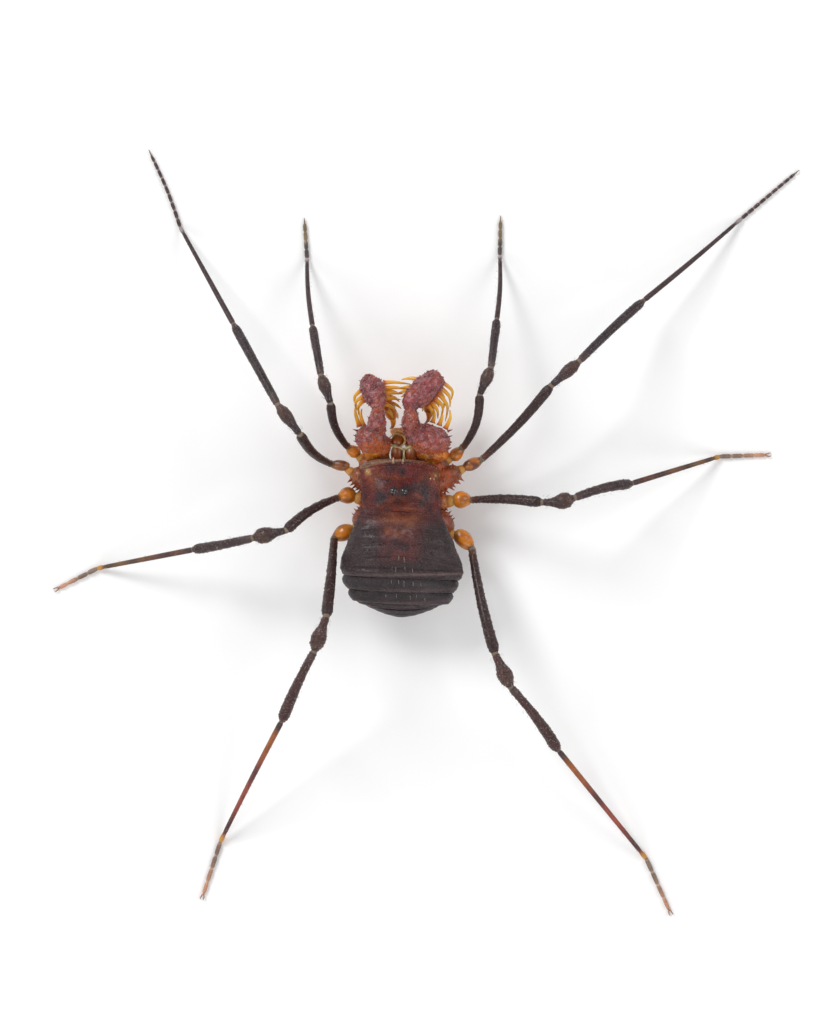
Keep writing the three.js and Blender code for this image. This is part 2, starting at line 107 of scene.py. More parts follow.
def through(*pairs):
    """A smooth function through pairs of (position, value)."""
    order = sorted(pairs)

    def value(at):
        if at <= order[0][0]:
            return order[0][1]
        for (low, a), (high, b) in zip(order, order[1:]):
            if at <= high:
                share = (at - low) / (high - low)
                eased = 0.5 * share + 0.5 * share * share * (3 - 2 * share)
                return a + (b - a) * eased
        return order[-1][1]

    return value


def ridge_at(value, middle, wide):
    """A soft ridge, 1 at its middle."""
    return math.exp(-(((value - middle) / wide) ** 2))


def bump_at(x, y, centre_x, centre_y, wide, long):
    """A soft round hill, 1 at its top."""
    return math.exp(-(((x - centre_x) / wide) ** 2) - ((y - centre_y) / long) ** 2)


def cloudy(place, per_mm, shift=0.0):
    """Smooth unevenness from 0 to 1 that depends only on the place."""
    raw = noise.noise(Vector(place) * per_mm + Vector((shift, shift, shift)))
    return min(max(0.5 + 0.9 * raw, 0.0), 1.0)


def step_at(value, edge, width):
    """0 before an edge, 1 after it, smooth over the width."""
    share = min(max((value - edge) / width + 0.5, 0.0), 1.0)
    return share * share * (3 - 2 * share)


HIP_HEIGHT = 1.3  # of the hips' middles over the floor


class Leg:
    """One leg's joints and sizes, in millimetres; kind is its pair, from 1 at the front to 4."""

    def __init__(self, name, hip, headings, reaches, bows, heights, ball):
        self.name = name
        self.kind = int(name[4])
        self.side = -1 if name.endswith("left") else 1
        self.bows = bows
        self.ball = ball[:2]
        self.ball_way = heading_vector(ball[2])
        ankle = TARSUS_RADIUS[self.kind]
        levels = [*heights, ankle, ankle * 0.7]  # the tarsus lies on the floor
        self.joints = [Vector((hip[0], hip[1], HIP_HEIGHT))]
        for heading, reach, level in zip(headings, reaches, levels):
            joint = self.joints[-1] + heading_vector(heading) * reach
            joint.z = level
            self.joints.append(joint)
        self.femur_root = self.joints[0] + self.ball_way * self.ball[0] * 0.8 + UP * 0.05


# Radii by leg pair
Girth = namedtuple("Girth", "femur_root femur_end patella tibia_root tibia_end foot_near foot_far")
LEG_RADII = {
    1: Girth(0.1, 0.14, 0.19, 0.11, 0.13, 0.078, 0.06),
    2: Girth(0.1, 0.155, 0.19, 0.12, 0.138, 0.082, 0.056),
    3: Girth(0.1, 0.16, 0.24, 0.12, 0.15, 0.085, 0.064),
    4: Girth(0.11, 0.17, 0.23, 0.12, 0.17, 0.086, 0.066),
}
# The colour that a pair's patellae and tibiae lean to, and how far
SHIN_SHIFTS = {
    1: (colour("30242a"), 0.35),
    2: (colour("30242a"), 0.55),
    3: (colour("4a3230"), 0.2),
    4: (colour("5a2e26"), 0.45),
}
# The tarsi by leg pair: radius, and how many articles
TARSUS_RADIUS = {1: 0.062, 2: 0.054, 3: 0.066, 4: 0.066}
TARSUS_ARTICLES = {1: 4, 2: 9, 3: 4, 4: 4}

# Middle of the hip; headings, lengths and sideways bows of femur, patella, tibia, metatarsus and tarsus;
# heights of the knee, the patella's end and the tibia's end; the hip's ball: half length, radius, heading
LEGS = [
    Leg("leg_1_left", (-2.2, 2.41), (115, 109, 100, 95, 94), (1.54, 0.87, 1.49, 2.06, 1.05),
        (0.13, 0, 0, 0.05, 0), (2.7, 2.6, 1.75), (0.24, 0.185, 145)),
    Leg("leg_1_right", (0.89, 2.33), (69, 67, 83, 87, 89), (1.86, 0.86, 1.45, 1.94, 1.03),
        (-0.16, 0, 0, -0.05, 0), (2.3, 2.3, 1.5), (0.26, 0.19, 42)),
    Leg("leg_2_left", (-2.59, 1.98), (142, 127, 119, 119, 112), (1.47, 1.07, 2.75, 3.36, 2.33),
        (0.13, 0, 0, 0, -0.05), (3.9, 3.85, 2.1), (0.3, 0.17, 174)),
    Leg("leg_2_right", (1.37, 2.03), (45, 41, 43.3, 40, 40), (3.26, 1.08, 2.66, 3.85, 2.08),
        (-0.07, 0, 0.03, -0.02, 0), (2.5, 2.5, 1.1), (0.33, 0.185, 24)),
    Leg("leg_3_left", (-2.39, 1.08), (210, 193, 191, 191, 207), (2.06, 0.99, 1.82, 2.94, 1.31),
        (-0.11, 0, 0.02, 0, 0), (2.75, 2.7, 1.5), (0.29, 0.25, 192)),
    Leg("leg_3_right", (1.05, 0.96), (358, 8, 14, 17, 2), (2.35, 0.97, 1.77, 2.76, 1.38),
        (0.06, -0.05, 0.07, 0, 0), (2.45, 2.45, 1.35), (0.3, 0.255, 358)),
    Leg("leg_4_left", (-2.5, -0.04), (259, 251, 245, 243, 252), (2.49, 1.08, 2.3, 4.09, 1.65),
        (0.02, 0, -0.04, -0.02, 0), (3.5, 3.4, 2.05), (0.36, 0.25, 208)),
    Leg("leg_4_right", (1.11, -0.24), (285, 295, 307, 309, 294), (3.48, 1.08, 2.37, 4.19, 1.69),
        (-0.06, 0, 0.06, 0.0, 0), (2.45, 2.45, 1.3), (0.38, 0.25, 314)),
]

# The body's outline and profile by the distance along it
half_width = through(
    (2.16, 0.35), (2.13, 0.68), (2.07, 0.93), (1.98, 1.12), (1.88, 1.19), (1.45, 1.18),
    (1.1, 1.17), (0.8, 1.17), (0.5, 1.23), (0.2, 1.37), (-0.3, 1.58), (-0.9, 1.8),
    (-1.12, 1.83), (-1.28, 1.78), (-1.36, 1.7),
)
top_height = through(
    (2.16, 1.86), (2.12, 1.94), (2.0, 2.05), (1.5, 2.2), (0.9, 2.3), (0.62, 2.24),
    (0.3, 2.45), (-0.2, 2.72), (-0.7, 2.8), (-1.1, 2.72), (-1.36, 2.55),
)
margin_height = through(
    (2.15, 1.84), (1.0, 1.9), (-0.2, 1.98), (-1.1, 1.85), (-1.8, 1.6), (-2.53, 1.25)
)


def only(obj):
    """Deselects everything, then selects and activates one object."""
    if bpy.context.object and bpy.context.object.mode != "OBJECT":
        bpy.ops.object.mode_set(mode="OBJECT")
    bpy.ops.object.select_all(action="DESELECT")
    obj.hide_set(False)
    obj.select_set(True)
    bpy.context.view_layer.objects.active = obj
    return obj


def added(operator, **settings):
    """Adds a primitive with nothing else selected."""
    bpy.ops.object.select_all(action="DESELECT")
    operator(**settings)
    return bpy.context.object


def edited(obj, *steps):
    """Runs edit-mode steps, each an operator and its settings, on the whole of an object."""
    only(obj)
    bpy.ops.object.mode_set(mode="EDIT")
    for operator, settings in steps:
        bpy.ops.mesh.select_all(action="SELECT")
        operator(**settings)
    bpy.ops.object.mode_set(mode="OBJECT")
    return obj


def joined(objects):
    """Joins objects into the first of them."""
    only(objects[0])
    for obj in objects[1:]:
        obj.select_set(True)
    if len(objects) > 1:
        bpy.ops.object.join()
    return bpy.context.object


def applied(obj, kind, **settings):
    """Adds a modifier with its settings and applies it."""
    only(obj)
    bpy.ops.object.modifier_add(type=kind)
    modifier = obj.modifiers[-1]
    for key, value in settings.items():
        setattr(modifier, key, value)
    bpy.ops.object.modifier_apply(modifier=modifier.name)
    return obj


def faces_out(obj):
    """Turns every face outward."""
    return edited(obj, (bpy.ops.mesh.normals_make_consistent, {"inside": False}))


def points_of(obj):
    """The places of a mesh's vertices, one to a row."""
    found = np.empty(len(obj.data.vertices) * 3, np.float32)
    obj.data.vertices.foreach_get("co", found)
    return found.reshape(-1, 3)


def moulded(obj, carry):
    """Carries every vertex to a new place."""
    for vertex in obj.data.vertices:
        vertex.co = carry(vertex.co)
    obj.data.update()
    return obj


def write_tint(mesh, shades):
    """Keeps one colour for each vertex in the tint attribute."""
    tint = mesh.color_attributes.get("tint")
    if tint is None:
        tint = mesh.color_attributes.new("tint", "FLOAT_COLOR", "POINT")
    values = np.ones((len(mesh.vertices), 4), np.float32)
    values[:, :3] = shades
    tint.data.foreach_set("color", values.ravel())


def tinted(obj, shade_at):
    """Colours a form by the place of each vertex."""
    write_tint(obj.data, [shade_at(vertex.co) for vertex in obj.data.vertices])
    return obj


def finished(obj, name, look, slot, nodes=()):
    """Names a piece, brings it to metres, gives it its finish and ties it to the frame."""
    only(obj)
    obj.name = name
    obj.data.name = name
    obj.scale = (MM, MM, MM)
    bpy.ops.object.transform_apply(location=True, rotation=True, scale=True)
    bpy.ops.object.shade_smooth()
    obj.data.materials.clear()
    obj.data.materials.append(finish(look))
    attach(obj, "root")
    if nodes:
        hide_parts(*nodes)
    return obj


STRAND_DOUBLES = 0.0002  # corners of a strand closer than this are merged


class Strands:
    """Round strands of changing thickness and colour, made from one curve and turned into a mesh."""

    def __init__(self, roundness):
        self.obj = added(bpy.ops.curve.primitive_bezier_curve_add, location=(0, 0, 0))
        curve = self.obj.data
        curve.splines.clear()
        curve.dimensions = "3D"
        curve.bevel_depth = 1.0
        curve.bevel_resolution = roundness
        curve.use_fill_caps = True
        self.samples = []

    def add(self, points, radii, shades):
        """Adds a strand with a radius and a colour for each of its points."""
        spline = self.obj.data.splines.new("POLY")
        spline.points.add(len(points) - 1)
        for knot, point, radius in zip(spline.points, points, radii):
            knot.co = (*point, 1)
            knot.radius = radius
        self.samples += list(zip(points, shades))

    def along(self, points, radius_at, shade_at):
        """Adds a strand whose radius and colour follow the share of its length."""
        last = len(points) - 1
        shares = [i / last for i in range(last + 1)]
        self.add(points, [radius_at(share) for share in shares], [shade_at(share) for share in shares])

    def made(self):
        """Turns the curve into a mesh and gives each vertex the mix of its two nearest samples."""
        only(self.obj)
        bpy.ops.object.convert(target="MESH")
        edited(bpy.context.object, (bpy.ops.mesh.remove_doubles, {"threshold": STRAND_DOUBLES}))
        obj = faces_out(bpy.context.object)
        tree = KDTree(len(self.samples))
        for i, (point, _) in enumerate(self.samples):
            tree.insert(point, i)
        tree.balance()

        def nearest(place):
            found = tree.find_n(place, 2)
            weights = [1 / (distance + 1e-4) for _, _, distance in found]
            total = sum(weights)
            mixed = [0.0, 0.0, 0.0]
            for (_, i, _), weight in zip(found, weights):
                for channel in range(3):
                    mixed[channel] += self.samples[i][1][channel] * weight / total
            return mixed

        return tinted(obj, nearest)


def lump(centre, radii, heading=0.0, detail=24):
    """A round form to be joined with others: a ball drawn out to three radii and turned."""
    obj = added(bpy.ops.mesh.primitive_uv_sphere_add, segments=detail, ring_count=detail // 2, radius=1)
    turn = Matrix.Translation(Vector(centre)) @ Matrix.Rotation(math.radians(heading), 4, "Z")
    obj.data.transform(turn @ Matrix.Diagonal((*radii, 1)))
    return obj


def grown_together(objects, voxel, rounds):
    """Joins forms into one closed skin and softens the creases between them."""
    obj = joined(objects)
    obj.data.remesh_voxel_size = voxel
    bpy.ops.object.voxel_remesh()
    return applied(obj, "SMOOTH", factor=0.5, iterations=rounds)


def roughened(obj, strength, scale):
    """Presses fine unevenness into a form."""
    texture = bpy.data.textures.new("unevenness", "CLOUDS")
    texture.noise_scale = scale
    texture.noise_depth = 2
    settings = {"texture": texture, "texture_coords": "LOCAL", "mid_level": 0.5}
    return applied(obj, "DISPLACE", strength=strength, **settings)


def scattered(obj, count, seed, lowest=-2.0):
    """Even random places on a mesh, each with its outward direction, where that rises above lowest."""
    rng = np.random.default_rng(seed)
    mesh = obj.data
    mesh.calc_loop_triangles()
    indices = np.empty(len(mesh.loop_triangles) * 3, np.int32)
    mesh.loop_triangles.foreach_get("vertices", indices)
    corners = points_of(obj)[indices.reshape(-1, 3)]
    normals = np.cross(corners[:, 1] - corners[:, 0], corners[:, 2] - corners[:, 0])
    areas = np.linalg.norm(normals, axis=1)
    chosen = rng.choice(len(areas), size=count, p=areas / areas.sum())
    a, b = rng.random((2, count))
    over = a + b > 1
    a[over], b[over] = 1 - a[over], 1 - b[over]
    at = corners[chosen, 0] + a[:, None] * (corners[chosen, 1] - corners[chosen, 0])
    at += b[:, None] * (corners[chosen, 2] - corners[chosen, 0])
    out = normals[chosen] / areas[chosen, None]
    found = [(Vector(place), Vector(way)) for place, way in zip(at, out)]
    return [(place, way) for place, way in found if way.z > lowest]


class Swarm:
    """Many small copies of one shape, joined into one mesh."""

    def __init__(self, template):
        self.corners = points_of(template)
        self.faces = [tuple(face.vertices) for face in template.data.polygons]
        bpy.data.objects.remove(template)
        self.vertices = []
        self.polygons = []
        self.shades = []

    def add(self, root, out, wide, high, root_orange_and_glow, tip_shade, lean=None):
        """A copy stands at root, along out; lean carries its tip sideways."""
        axis = out.normalized()
        side = axis.orthogonal().normalized()
        other = axis.cross(side)
        start = len(self.vertices)
        for x, y, z in self.corners:
            corner = root + side * (x * wide) + other * (y * wide) + axis * (z * high)
            if lean is not None:
                corner += lean * (max(z, 0.0) ** 2)
            self.vertices.append(corner)
            self.shades.append(blended(root_orange_and_glow, tip_shade, z))
        self.polygons += [tuple(start + i for i in face) for face in self.faces]

    def made(self):
        """Builds the one mesh of all copies."""
        mesh = bpy.data.meshes.new("swarm")
        mesh.from_pydata(self.vertices, [], self.polygons)
        obj = bpy.data.objects.new("swarm", mesh)
        bpy.context.scene.collection.objects.link(obj)
        write_tint(mesh, self.shades)
        return obj


def granule_template():
    """A bead of twenty faces, half sunk where it stands."""
    return added(bpy.ops.mesh.primitive_ico_sphere_add, subdivisions=1, radius=1)


def thorn_template(sides):
    """A pointed cone with a flared foot, one unit high."""
    obj = added(bpy.ops.mesh.primitive_cone_add, vertices=sides, radius1=1, radius2=0.08, depth=1.1)
    edited(
        obj,
        (bpy.ops.transform.translate, {"value": (0, 0, 0.45)}),
        (bpy.ops.mesh.bisect, {"plane_co": (0, 0, 0.25), "plane_no": UP}),
        (bpy.ops.mesh.bisect, {"plane_co": (0, 0, 0.6), "plane_no": UP}),
    )
    for vertex in obj.data.vertices:
        if 0.05 < vertex.co.z < 0.95:
            vertex.co.x *= 0.82
            vertex.co.y *= 0.82
    return obj


def hair_template():
    """A hair of three sides, one unit long."""
    cone = {"vertices": 3, "radius1": 1, "radius2": 0.2, "depth": 1, "location": (0, 0, 0.5)}
    obj = added(bpy.ops.mesh.primitive_cone_add, **cone)
    bpy.ops.object.transform_apply(location=True, rotation=True, scale=True)
    return edited(obj, (bpy.ops.mesh.bisect, {"plane_co": (0, 0, 0.5), "plane_no": UP}))


class Value:
    """A number socket that adds Math nodes where it meets arithmetic, on either side of the sign."""

    def __init__(self, shader, socket):
        self.shader = shader
        self.socket = socket

    def _math(self, operation, a, b):
        node = self.shader.add("ShaderNodeMath", {"operation": operation}, {0: a, 1: b})
        return Value(self.shader, node.outputs[0])

    def __add__(self, other):
        return self._math("ADD", self, other)

    def __radd__(self, other):
        return self._math("ADD", other, self)

    def __sub__(self, other):
        return self._math("SUBTRACT", self, other)

    def __rsub__(self, other):
        return self._math("SUBTRACT", other, self)

    def __mul__(self, other):
        return self._math("MULTIPLY", self, other)

    def __rmul__(self, other):
        return self._math("MULTIPLY", other, self)

    def clamped(self):
        """The value kept from 0 to 1."""
        low = self._math("MAXIMUM", self, 0.0)
        return low._math("MINIMUM", low, 1.0)


class Shader:
    """One material's nodes, built by a few words."""

    def __init__(self, name):
        self.material = bpy.data.materials.new(name)
        self.material.use_nodes = True
        self.tree = self.material.node_tree
        self.tree.nodes.clear()
        self.output = self.tree.nodes.new("ShaderNodeOutputMaterial")
        coordinates = self.add("ShaderNodeTexCoord")
        scaled = {0: coordinates.outputs["Object"], "Scale": 1 / MM}
        self.place = self.add("ShaderNodeVectorMath", {"operation": "SCALE"}, scaled).outputs[0]

    def add(self, kind, settings=None, sockets=None):
        """The one way in which a node is made, set and linked."""
        node = self.tree.nodes.new(kind)
        for key, value in (settings or {}).items():
            setattr(node, key, value)
        for key, value in (sockets or {}).items():
            socket = value.socket if isinstance(value, Value) else value
            if isinstance(socket, bpy.types.NodeSocket):
                self.tree.links.new(socket, node.inputs[key])
            else:
                node.inputs[key].default_value = socket
        return node

    def noise(self, per_mm, detail=3.0):
        """Cloudy unevenness from 0 to 1."""
        sockets = {"Vector": self.place, "Scale": per_mm, "Detail": detail, "Roughness": 0.55}
        node = self.add("ShaderNodeTexNoise", {}, sockets)
        return Value(self, node.outputs["Fac"])

    def cells(self, per_mm):
        """The distance from the middle of the nearest grain."""
        sockets = {"Vector": self.place, "Scale": per_mm, "Randomness": 0.9}
        node = self.add("ShaderNodeTexVoronoi", {"feature": "F1"}, sockets)
        return Value(self, node.outputs["Distance"])

    def mixed(self, share, a, b, mode="MIX"):
        """Colour a where share is 0, and b laid over it in the given mode where it is 1."""
        sockets = {0: share, 6: a, 7: b}
        return self.add("ShaderNodeMix", {"data_type": "RGBA", "blend_type": mode}, sockets).outputs[2]

    def tint(self):
        """The colour that the mesh carries."""
        return self.add("ShaderNodeAttribute", {"attribute_name": "tint"}).outputs["Color"]

    def bumped(self, height, depth_mm):
        """Fine relief, depth_mm deep where height is 1."""
        sockets = {"Height": height, "Distance": depth_mm * MM, "Strength": 1.0}
        return self.add("ShaderNodeBump", {}, sockets).outputs["Normal"]

    def surfaced(self, **sockets):
        """Closes the material with its surface; a socket's name has _ for each space."""
        named = {key.replace("_", " "): value for key, value in sockets.items()}
        surface = self.add("ShaderNodeBsdfPrincipled", {}, named)
        self.tree.links.new(surface.outputs[0], self.output.inputs["Surface"])
        return self.material


def grey(value):
    """A grey as a colour socket takes it."""
    return (value, value, value, 1)


def chitin(name, granules_per_mm, relief_mm, roughness, coat, specks, mottle, depth=0.12):
    """Hard skin: its tint is mottled, its granules stand up and may be paler, its wear is in the gloss."""
    shader = Shader(name)
    clouds = shader.noise(3.2, 4.0)
    fine = shader.noise(22.0, 2.0)
    grain = (1.0 - shader.cells(granules_per_mm) * 1.7).clamped()
    shade = (clouds * 1.6 - 0.3).clamped()
    base = shader.tint()
    dark = shader.mixed(1.0, base, grey(1.0 - mottle * 0.75), "MULTIPLY")
    mottled = shader.mixed(shade, dark, base)
    light = shader.mixed(1.0, mottled, (0.14, 0.09, 0.09, 1), "ADD")
    patches = (shader.noise(2.0, 2.0) * 3.0 - 1.1).clamped()
    speckled = shader.mixed(grain * patches * fine * (specks * 1.6), mottled, light)
    height = grain * 0.8 + fine * 0.35
    return shader.surfaced(
        Base_Color=speckled,
        Roughness=(fine * 0.3 + (roughness - 0.12)).clamped(),
        Coat_Weight=coat,
        Coat_Roughness=0.22,
        Specular_IOR_Level=0.35,
        Subsurface_Weight=depth,
        Subsurface_Radius=(1.0, 0.35, 0.18),
        Subsurface_Scale=0.25 * MM,
        Normal=shader.bumped(height, relief_mm),
    )


def amber(name):
    """Spines and claws: honey-coloured and lit through."""
    shader = Shader(name)
    streaks = shader.noise(7.0, 2.0)
    base = shader.tint()
    rich = shader.mixed(1.0, base, (0.95, 0.8, 0.55, 1), "MULTIPLY")
    return shader.surfaced(
        Base_Color=shader.mixed(streaks.clamped(), rich, base),
        Roughness=(streaks * 0.2 + 0.28).clamped(),
        Transmission_Weight=0.2,
        IOR=1.35,
        Coat_Weight=0.4,
        Coat_Roughness=0.12,
        Subsurface_Weight=0.5,
        Subsurface_Radius=(1.0, 0.55, 0.15),
        Subsurface_Scale=0.3 * MM,
        Normal=shader.bumped(streaks, 0.006),
    )


def membrane(name):
    """Soft pale skin between the plates, finely wrinkled."""
    shader = Shader(name)
    folds = shader.noise(16.0, 3.0)
    base = shader.tint()
    shadow = shader.mixed(1.0, base, (0.62, 0.5, 0.4, 1), "MULTIPLY")
    return shader.surfaced(
        Base_Color=shader.mixed(folds.clamped(), shadow, base),
        Roughness=(folds * 0.25 + 0.4).clamped(),
        Subsurface_Weight=0.6,
        Subsurface_Radius=(1.0, 0.6, 0.35),
        Subsurface_Scale=0.3 * MM,
        Normal=shader.bumped(folds, 0.012),
    )


def lens_black(name):
    """The wet black of the eyes."""
    shader = Shader(name)
    sheen = shader.noise(4.0, 2.0)
    return shader.surfaced(
        Base_Color=shader.mixed(sheen.clamped(), (0.002, 0.002, 0.003, 1), (0.012, 0.012, 0.016, 1)),
        Roughness=(sheen * 0.06 + 0.03).clamped(),
        Coat_Weight=1.0,
        Coat_Roughness=0.03,
    )


def hair(name):
    """Fine hair in the colour that the mesh carries."""
    shader = Shader(name)
    return shader.surfaced(
        Base_Color=shader.mixed(shader.noise(9.0).clamped(), grey(0.7), shader.tint(), "MULTIPLY"),
        Roughness=0.4,
    )


# Each finish: its material's name, what makes it, and its settings
FINISHES = {
    "shield": ("granular_shield", chitin, {
        "granules_per_mm": 15.0, "relief_mm": 0.03, "roughness": 0.42,
        "coat": 0.12, "specks": 0.3, "mottle": 0.75,
    }),
    "palp": ("speckled_palp", chitin, {
        "granules_per_mm": 11.0, "relief_mm": 0.035, "roughness": 0.4,
        "coat": 0.3, "specks": 0.45, "mottle": 0.5,
    }),
    "coxa": ("grained_coxa", chitin, {
        "granules_per_mm": 10.0, "relief_mm": 0.03, "roughness": 0.36,
        "coat": 0.35, "specks": 0.35, "mottle": 0.6, "depth": 0.3,
    }),
    "leg": ("fine_leg", chitin, {
        "granules_per_mm": 14.0, "relief_mm": 0.02, "roughness": 0.4,
        "coat": 0.15, "specks": 0.5, "mottle": 0.7,
    }),
    "polished": ("polished_trochanter", chitin, {
        "granules_per_mm": 9.0, "relief_mm": 0.006, "roughness": 0.3,
        "coat": 0.4, "specks": 0.1, "mottle": 0.35, "depth": 0.4,
    }),
    "amber": ("lit_amber", amber, {}),
    "membrane": ("soft_membrane", membrane, {}),
    "lens": ("black_lens", lens_black, {}),
    "hair": ("pale_hair", hair, {}),
}
MATERIALS = {}


def finish(look):
    """The material of a finish, made once."""
    if look not in MATERIALS:
        name, make, settings = FINISHES[look]
        MATERIALS[look] = make(name, **settings)
    return MATERIALS[look]


def choice(name, default, description):
    """A colour that the panel offers."""
    return FloatVectorProperty(
        name=name, description=description, subtype="COLOR", size=3, min=0, max=1,
        default=colour(default),
    )


class HarvestmanColours(bpy.types.PropertyGroup):
    """The tints that the photograph shows."""

    shield: choice("Head shield", "6a231f", "Deep red-brown of the head shield")
    shield_dark: choice("Shield patches", "37242a", "Blue-black patches beside the eyes")
    shield_orange: choice("Shield corners", "8a3d1e", "Orange-brown front corners and mottles")
    rim: choice("Front rim", "a07a63", "Pale brown edge of the head shield")
    abdomen: choice("Abdomen sides", "3d2c2f", "Brown-black of the abdomen's sides and rear")
    abdomen_middle: choice("Abdomen middle", "62302e", "Red-brown middle of the abdomen")
    plate: choice("Free plates", "3b3033", "Black-brown of the free plates")
    plate_rim: choice("Plate rims", "5f4b4d", "Lighter rear rims of the plates")
    coxa: choice("Coxae", "c65f30", "Orange-red of the leg roots")
    coxa_pale: choice("Coxa ends", "d8a050", "Yellow ends of the leg roots")
    trochanter: choice("Trochanters", "e48a1a", "Amber-orange balls at the leg roots")
    palp: choice("Pedipalps", "9d474a", "Purple-red of the pedipalps")
    palp_warm: choice("Pedipalp joints", "b24f22", "Red-brown of the patellae")
    amber: choice("Spines", "ffb232", "Honey colour of the spines")
    amber_root: choice("Spine roots", "b45c28", "Reddish roots of the spines")
    amber_tip: choice("Spine tips", "3a1c10", "Dark tips of the spines")
    chelicera: choice("Chelicerae", "8c3c08", "Dark amber of the chelicerae")
    cream: choice("Membranes", "e8cfa0", "Cream skin between the plates")
    femur: choice("Femora", "38201f", "Dark brown of the thighs")
    femur_root: choice("Femur roots", "70402e", "Reddish base of the thighs")
    shin: choice("Patellae and tibiae", "423032", "Brownish grey of the middle of the legs")
    foot_dark: choice("Foot bands", "4a3637", "Dark bands of the feet")
    foot_red: choice("Hind feet", "a8513f", "Orange-red of the hind feet")
    foot_tip: choice("Foot tips", "d9a080", "Pinkish orange tips of the feet")
    hair: choice("Hairs", "d8cfc4", "Pale hairs on the plates")


class HarvestmanSizes(bpy.types.PropertyGroup):
    """Sizes that a user would change."""

    plate_wall: FloatProperty(
        name="Plate wall", description="Thickness of the shield and the free plates",
        default=0.06 * MM, unit="LENGTH",
    )
    granule: FloatProperty(
        name="Granule", description="Radius of the granules on the plates and pedipalps",
        default=0.02 * MM, unit="LENGTH",
    )
    spine: FloatProperty(
        name="Spine thickness", description="Radius of a pedipalp spine at its root",
        default=0.07 * MM, unit="LENGTH",
    )
    hair: FloatProperty(
        name="Hair length", description="Length of the hairs on the legs and plates",
        default=0.1 * MM, unit="LENGTH",
    )
    leg_hairs: IntProperty(
        name="Hairs per length", description="Hairs on each length of a leg", default=60,
    )


def tone(name):
    """A tint from the panel."""
    return tuple(getattr(bpy.context.scene.harvestman_colours, name))


def size_of(name):
    """A size from the panel, in millimetres."""
    return getattr(bpy.context.scene.harvestman_sizes, name) / MM


# How many granules each part has
GRANULES = {
    "head": 2600,
    "abdomen": 3600,
    "free_plate": 700,
    "palp_root": 300,
    "palp_femur": 1100,
    "palp_patella": 260,
    "palp_tibia": 620,
    "palp_tarsus": 90,
}
LEG_GRANULES = {1: 120, 2: 200, 3: 260, 4: 420}
PLATE_SQUARENESS = 2.3  # with 2 a plate's cross-section would be an ellipse; more makes it boxier


def plate_form(front, rear, width, top, margin, relief, tuck=104.0, columns=150, rows=100):
    """A curved plate laid over the back: a grid carried round the body, tuck degrees down each side."""
    obj = added(bpy.ops.mesh.primitive_grid_add, x_subdivisions=columns, y_subdivisions=rows, size=2)
    power = 2 / PLATE_SQUARENESS

    def carry(place):
        at = front + (rear - front) * (1 - place.y) / 2
        angle = math.radians(tuck) * place.x
        sideways = math.copysign(abs(math.sin(angle)) ** power, angle)
        upwards = math.copysign(abs(math.cos(angle)) ** power, math.cos(angle))
        rise = (top(at) - margin(at)) * upwards
        high = margin(at) + (rise if rise > 0 else rise * 0.5)
        across = width(at) * sideways
        high += relief(across, at) * max(upwards, 0)
        return body_place(across, at, high)

    return moulded(obj, carry)


def walled(obj):
    """Turns a plate's faces up and out and gives it the shell's thickness."""
    faces_out(obj)
    if sum(face.normal.z for face in obj.data.polygons) < 0:
        edited(obj, (bpy.ops.mesh.flip_normals, {}))
    return applied(obj, "SOLIDIFY", thickness=size_of("plate_wall"), offset=-1)


def beaded(obj, shade_at, count, seed, lowest, spread, pales):
    """Sets granules on a plate where it faces up more than lowest.

    Their sizes lie in the spread, and their tops are paler by one of the pales.
    """
    swarm = Swarm(granule_template())
    size = size_of("granule")
    random.seed(seed)
    for root, out in scattered(obj, count, seed, lowest):
        shade = shade_at(root)
        radius = size * random.uniform(*spread)
        tip = blended(shade, tone("plate_rim"), random.choice(pales))
        swarm.add(root, out, radius, radius * 0.8, shade, tip)
    return joined([obj, swarm.made()])


def own_places(place):
    """The across and along distances of a place on the body."""
    flat = Vector((place.x - BODY_X, place.y, 0))
    return flat.dot(ACROSS), flat.dot(ALONG)


MOUND = (-0.05, 1.18)  # the middle of the eyes' mound, across and along
EYE_SPREAD = 0.155  # from the mound's middle to each eye
EYE_RADIUS = 0.115
SHIELD_FRONT = 2.16  # the places along of the shield's front edge and of the abdomen shield's rim
SHIELD_REAR = -1.36
FRONT_BEND = 0.13  # how the shield's front edge draws back, by the square of the distance across


def head_relief(across, along):
    """The low mound of the eyes, the swellings and furrows of the head shield."""
    edge = along + FRONT_BEND * across * across
    high = 0.42 * bump_at(across, along, MOUND[0], MOUND[1], 0.34, 0.34)
    high += 0.05 * bump_at(across, along, 0.55, 1.0, 0.25, 0.4)
    high += 0.05 * bump_at(across, along, -0.55, 1.0, 0.25, 0.4)
    high -= 0.05 * bump_at(across, along, 0.0, 1.62, 0.5, 0.1)
    high -= 0.04 * ridge_at(edge, 2.02, 0.05)
    high += 0.05 * ridge_at(edge, 2.12, 0.05)
    high += 0.035 * (cloudy(Vector((across, along, 0)), 2.4) - 0.5)
    return high


# Yellow spots at the front corners: across, along, radius
YELLOW_SPOTS = [(-1.07, 1.81, 0.075), (0.954, 1.667, 0.055), (1.1, 1.66, 0.045)]


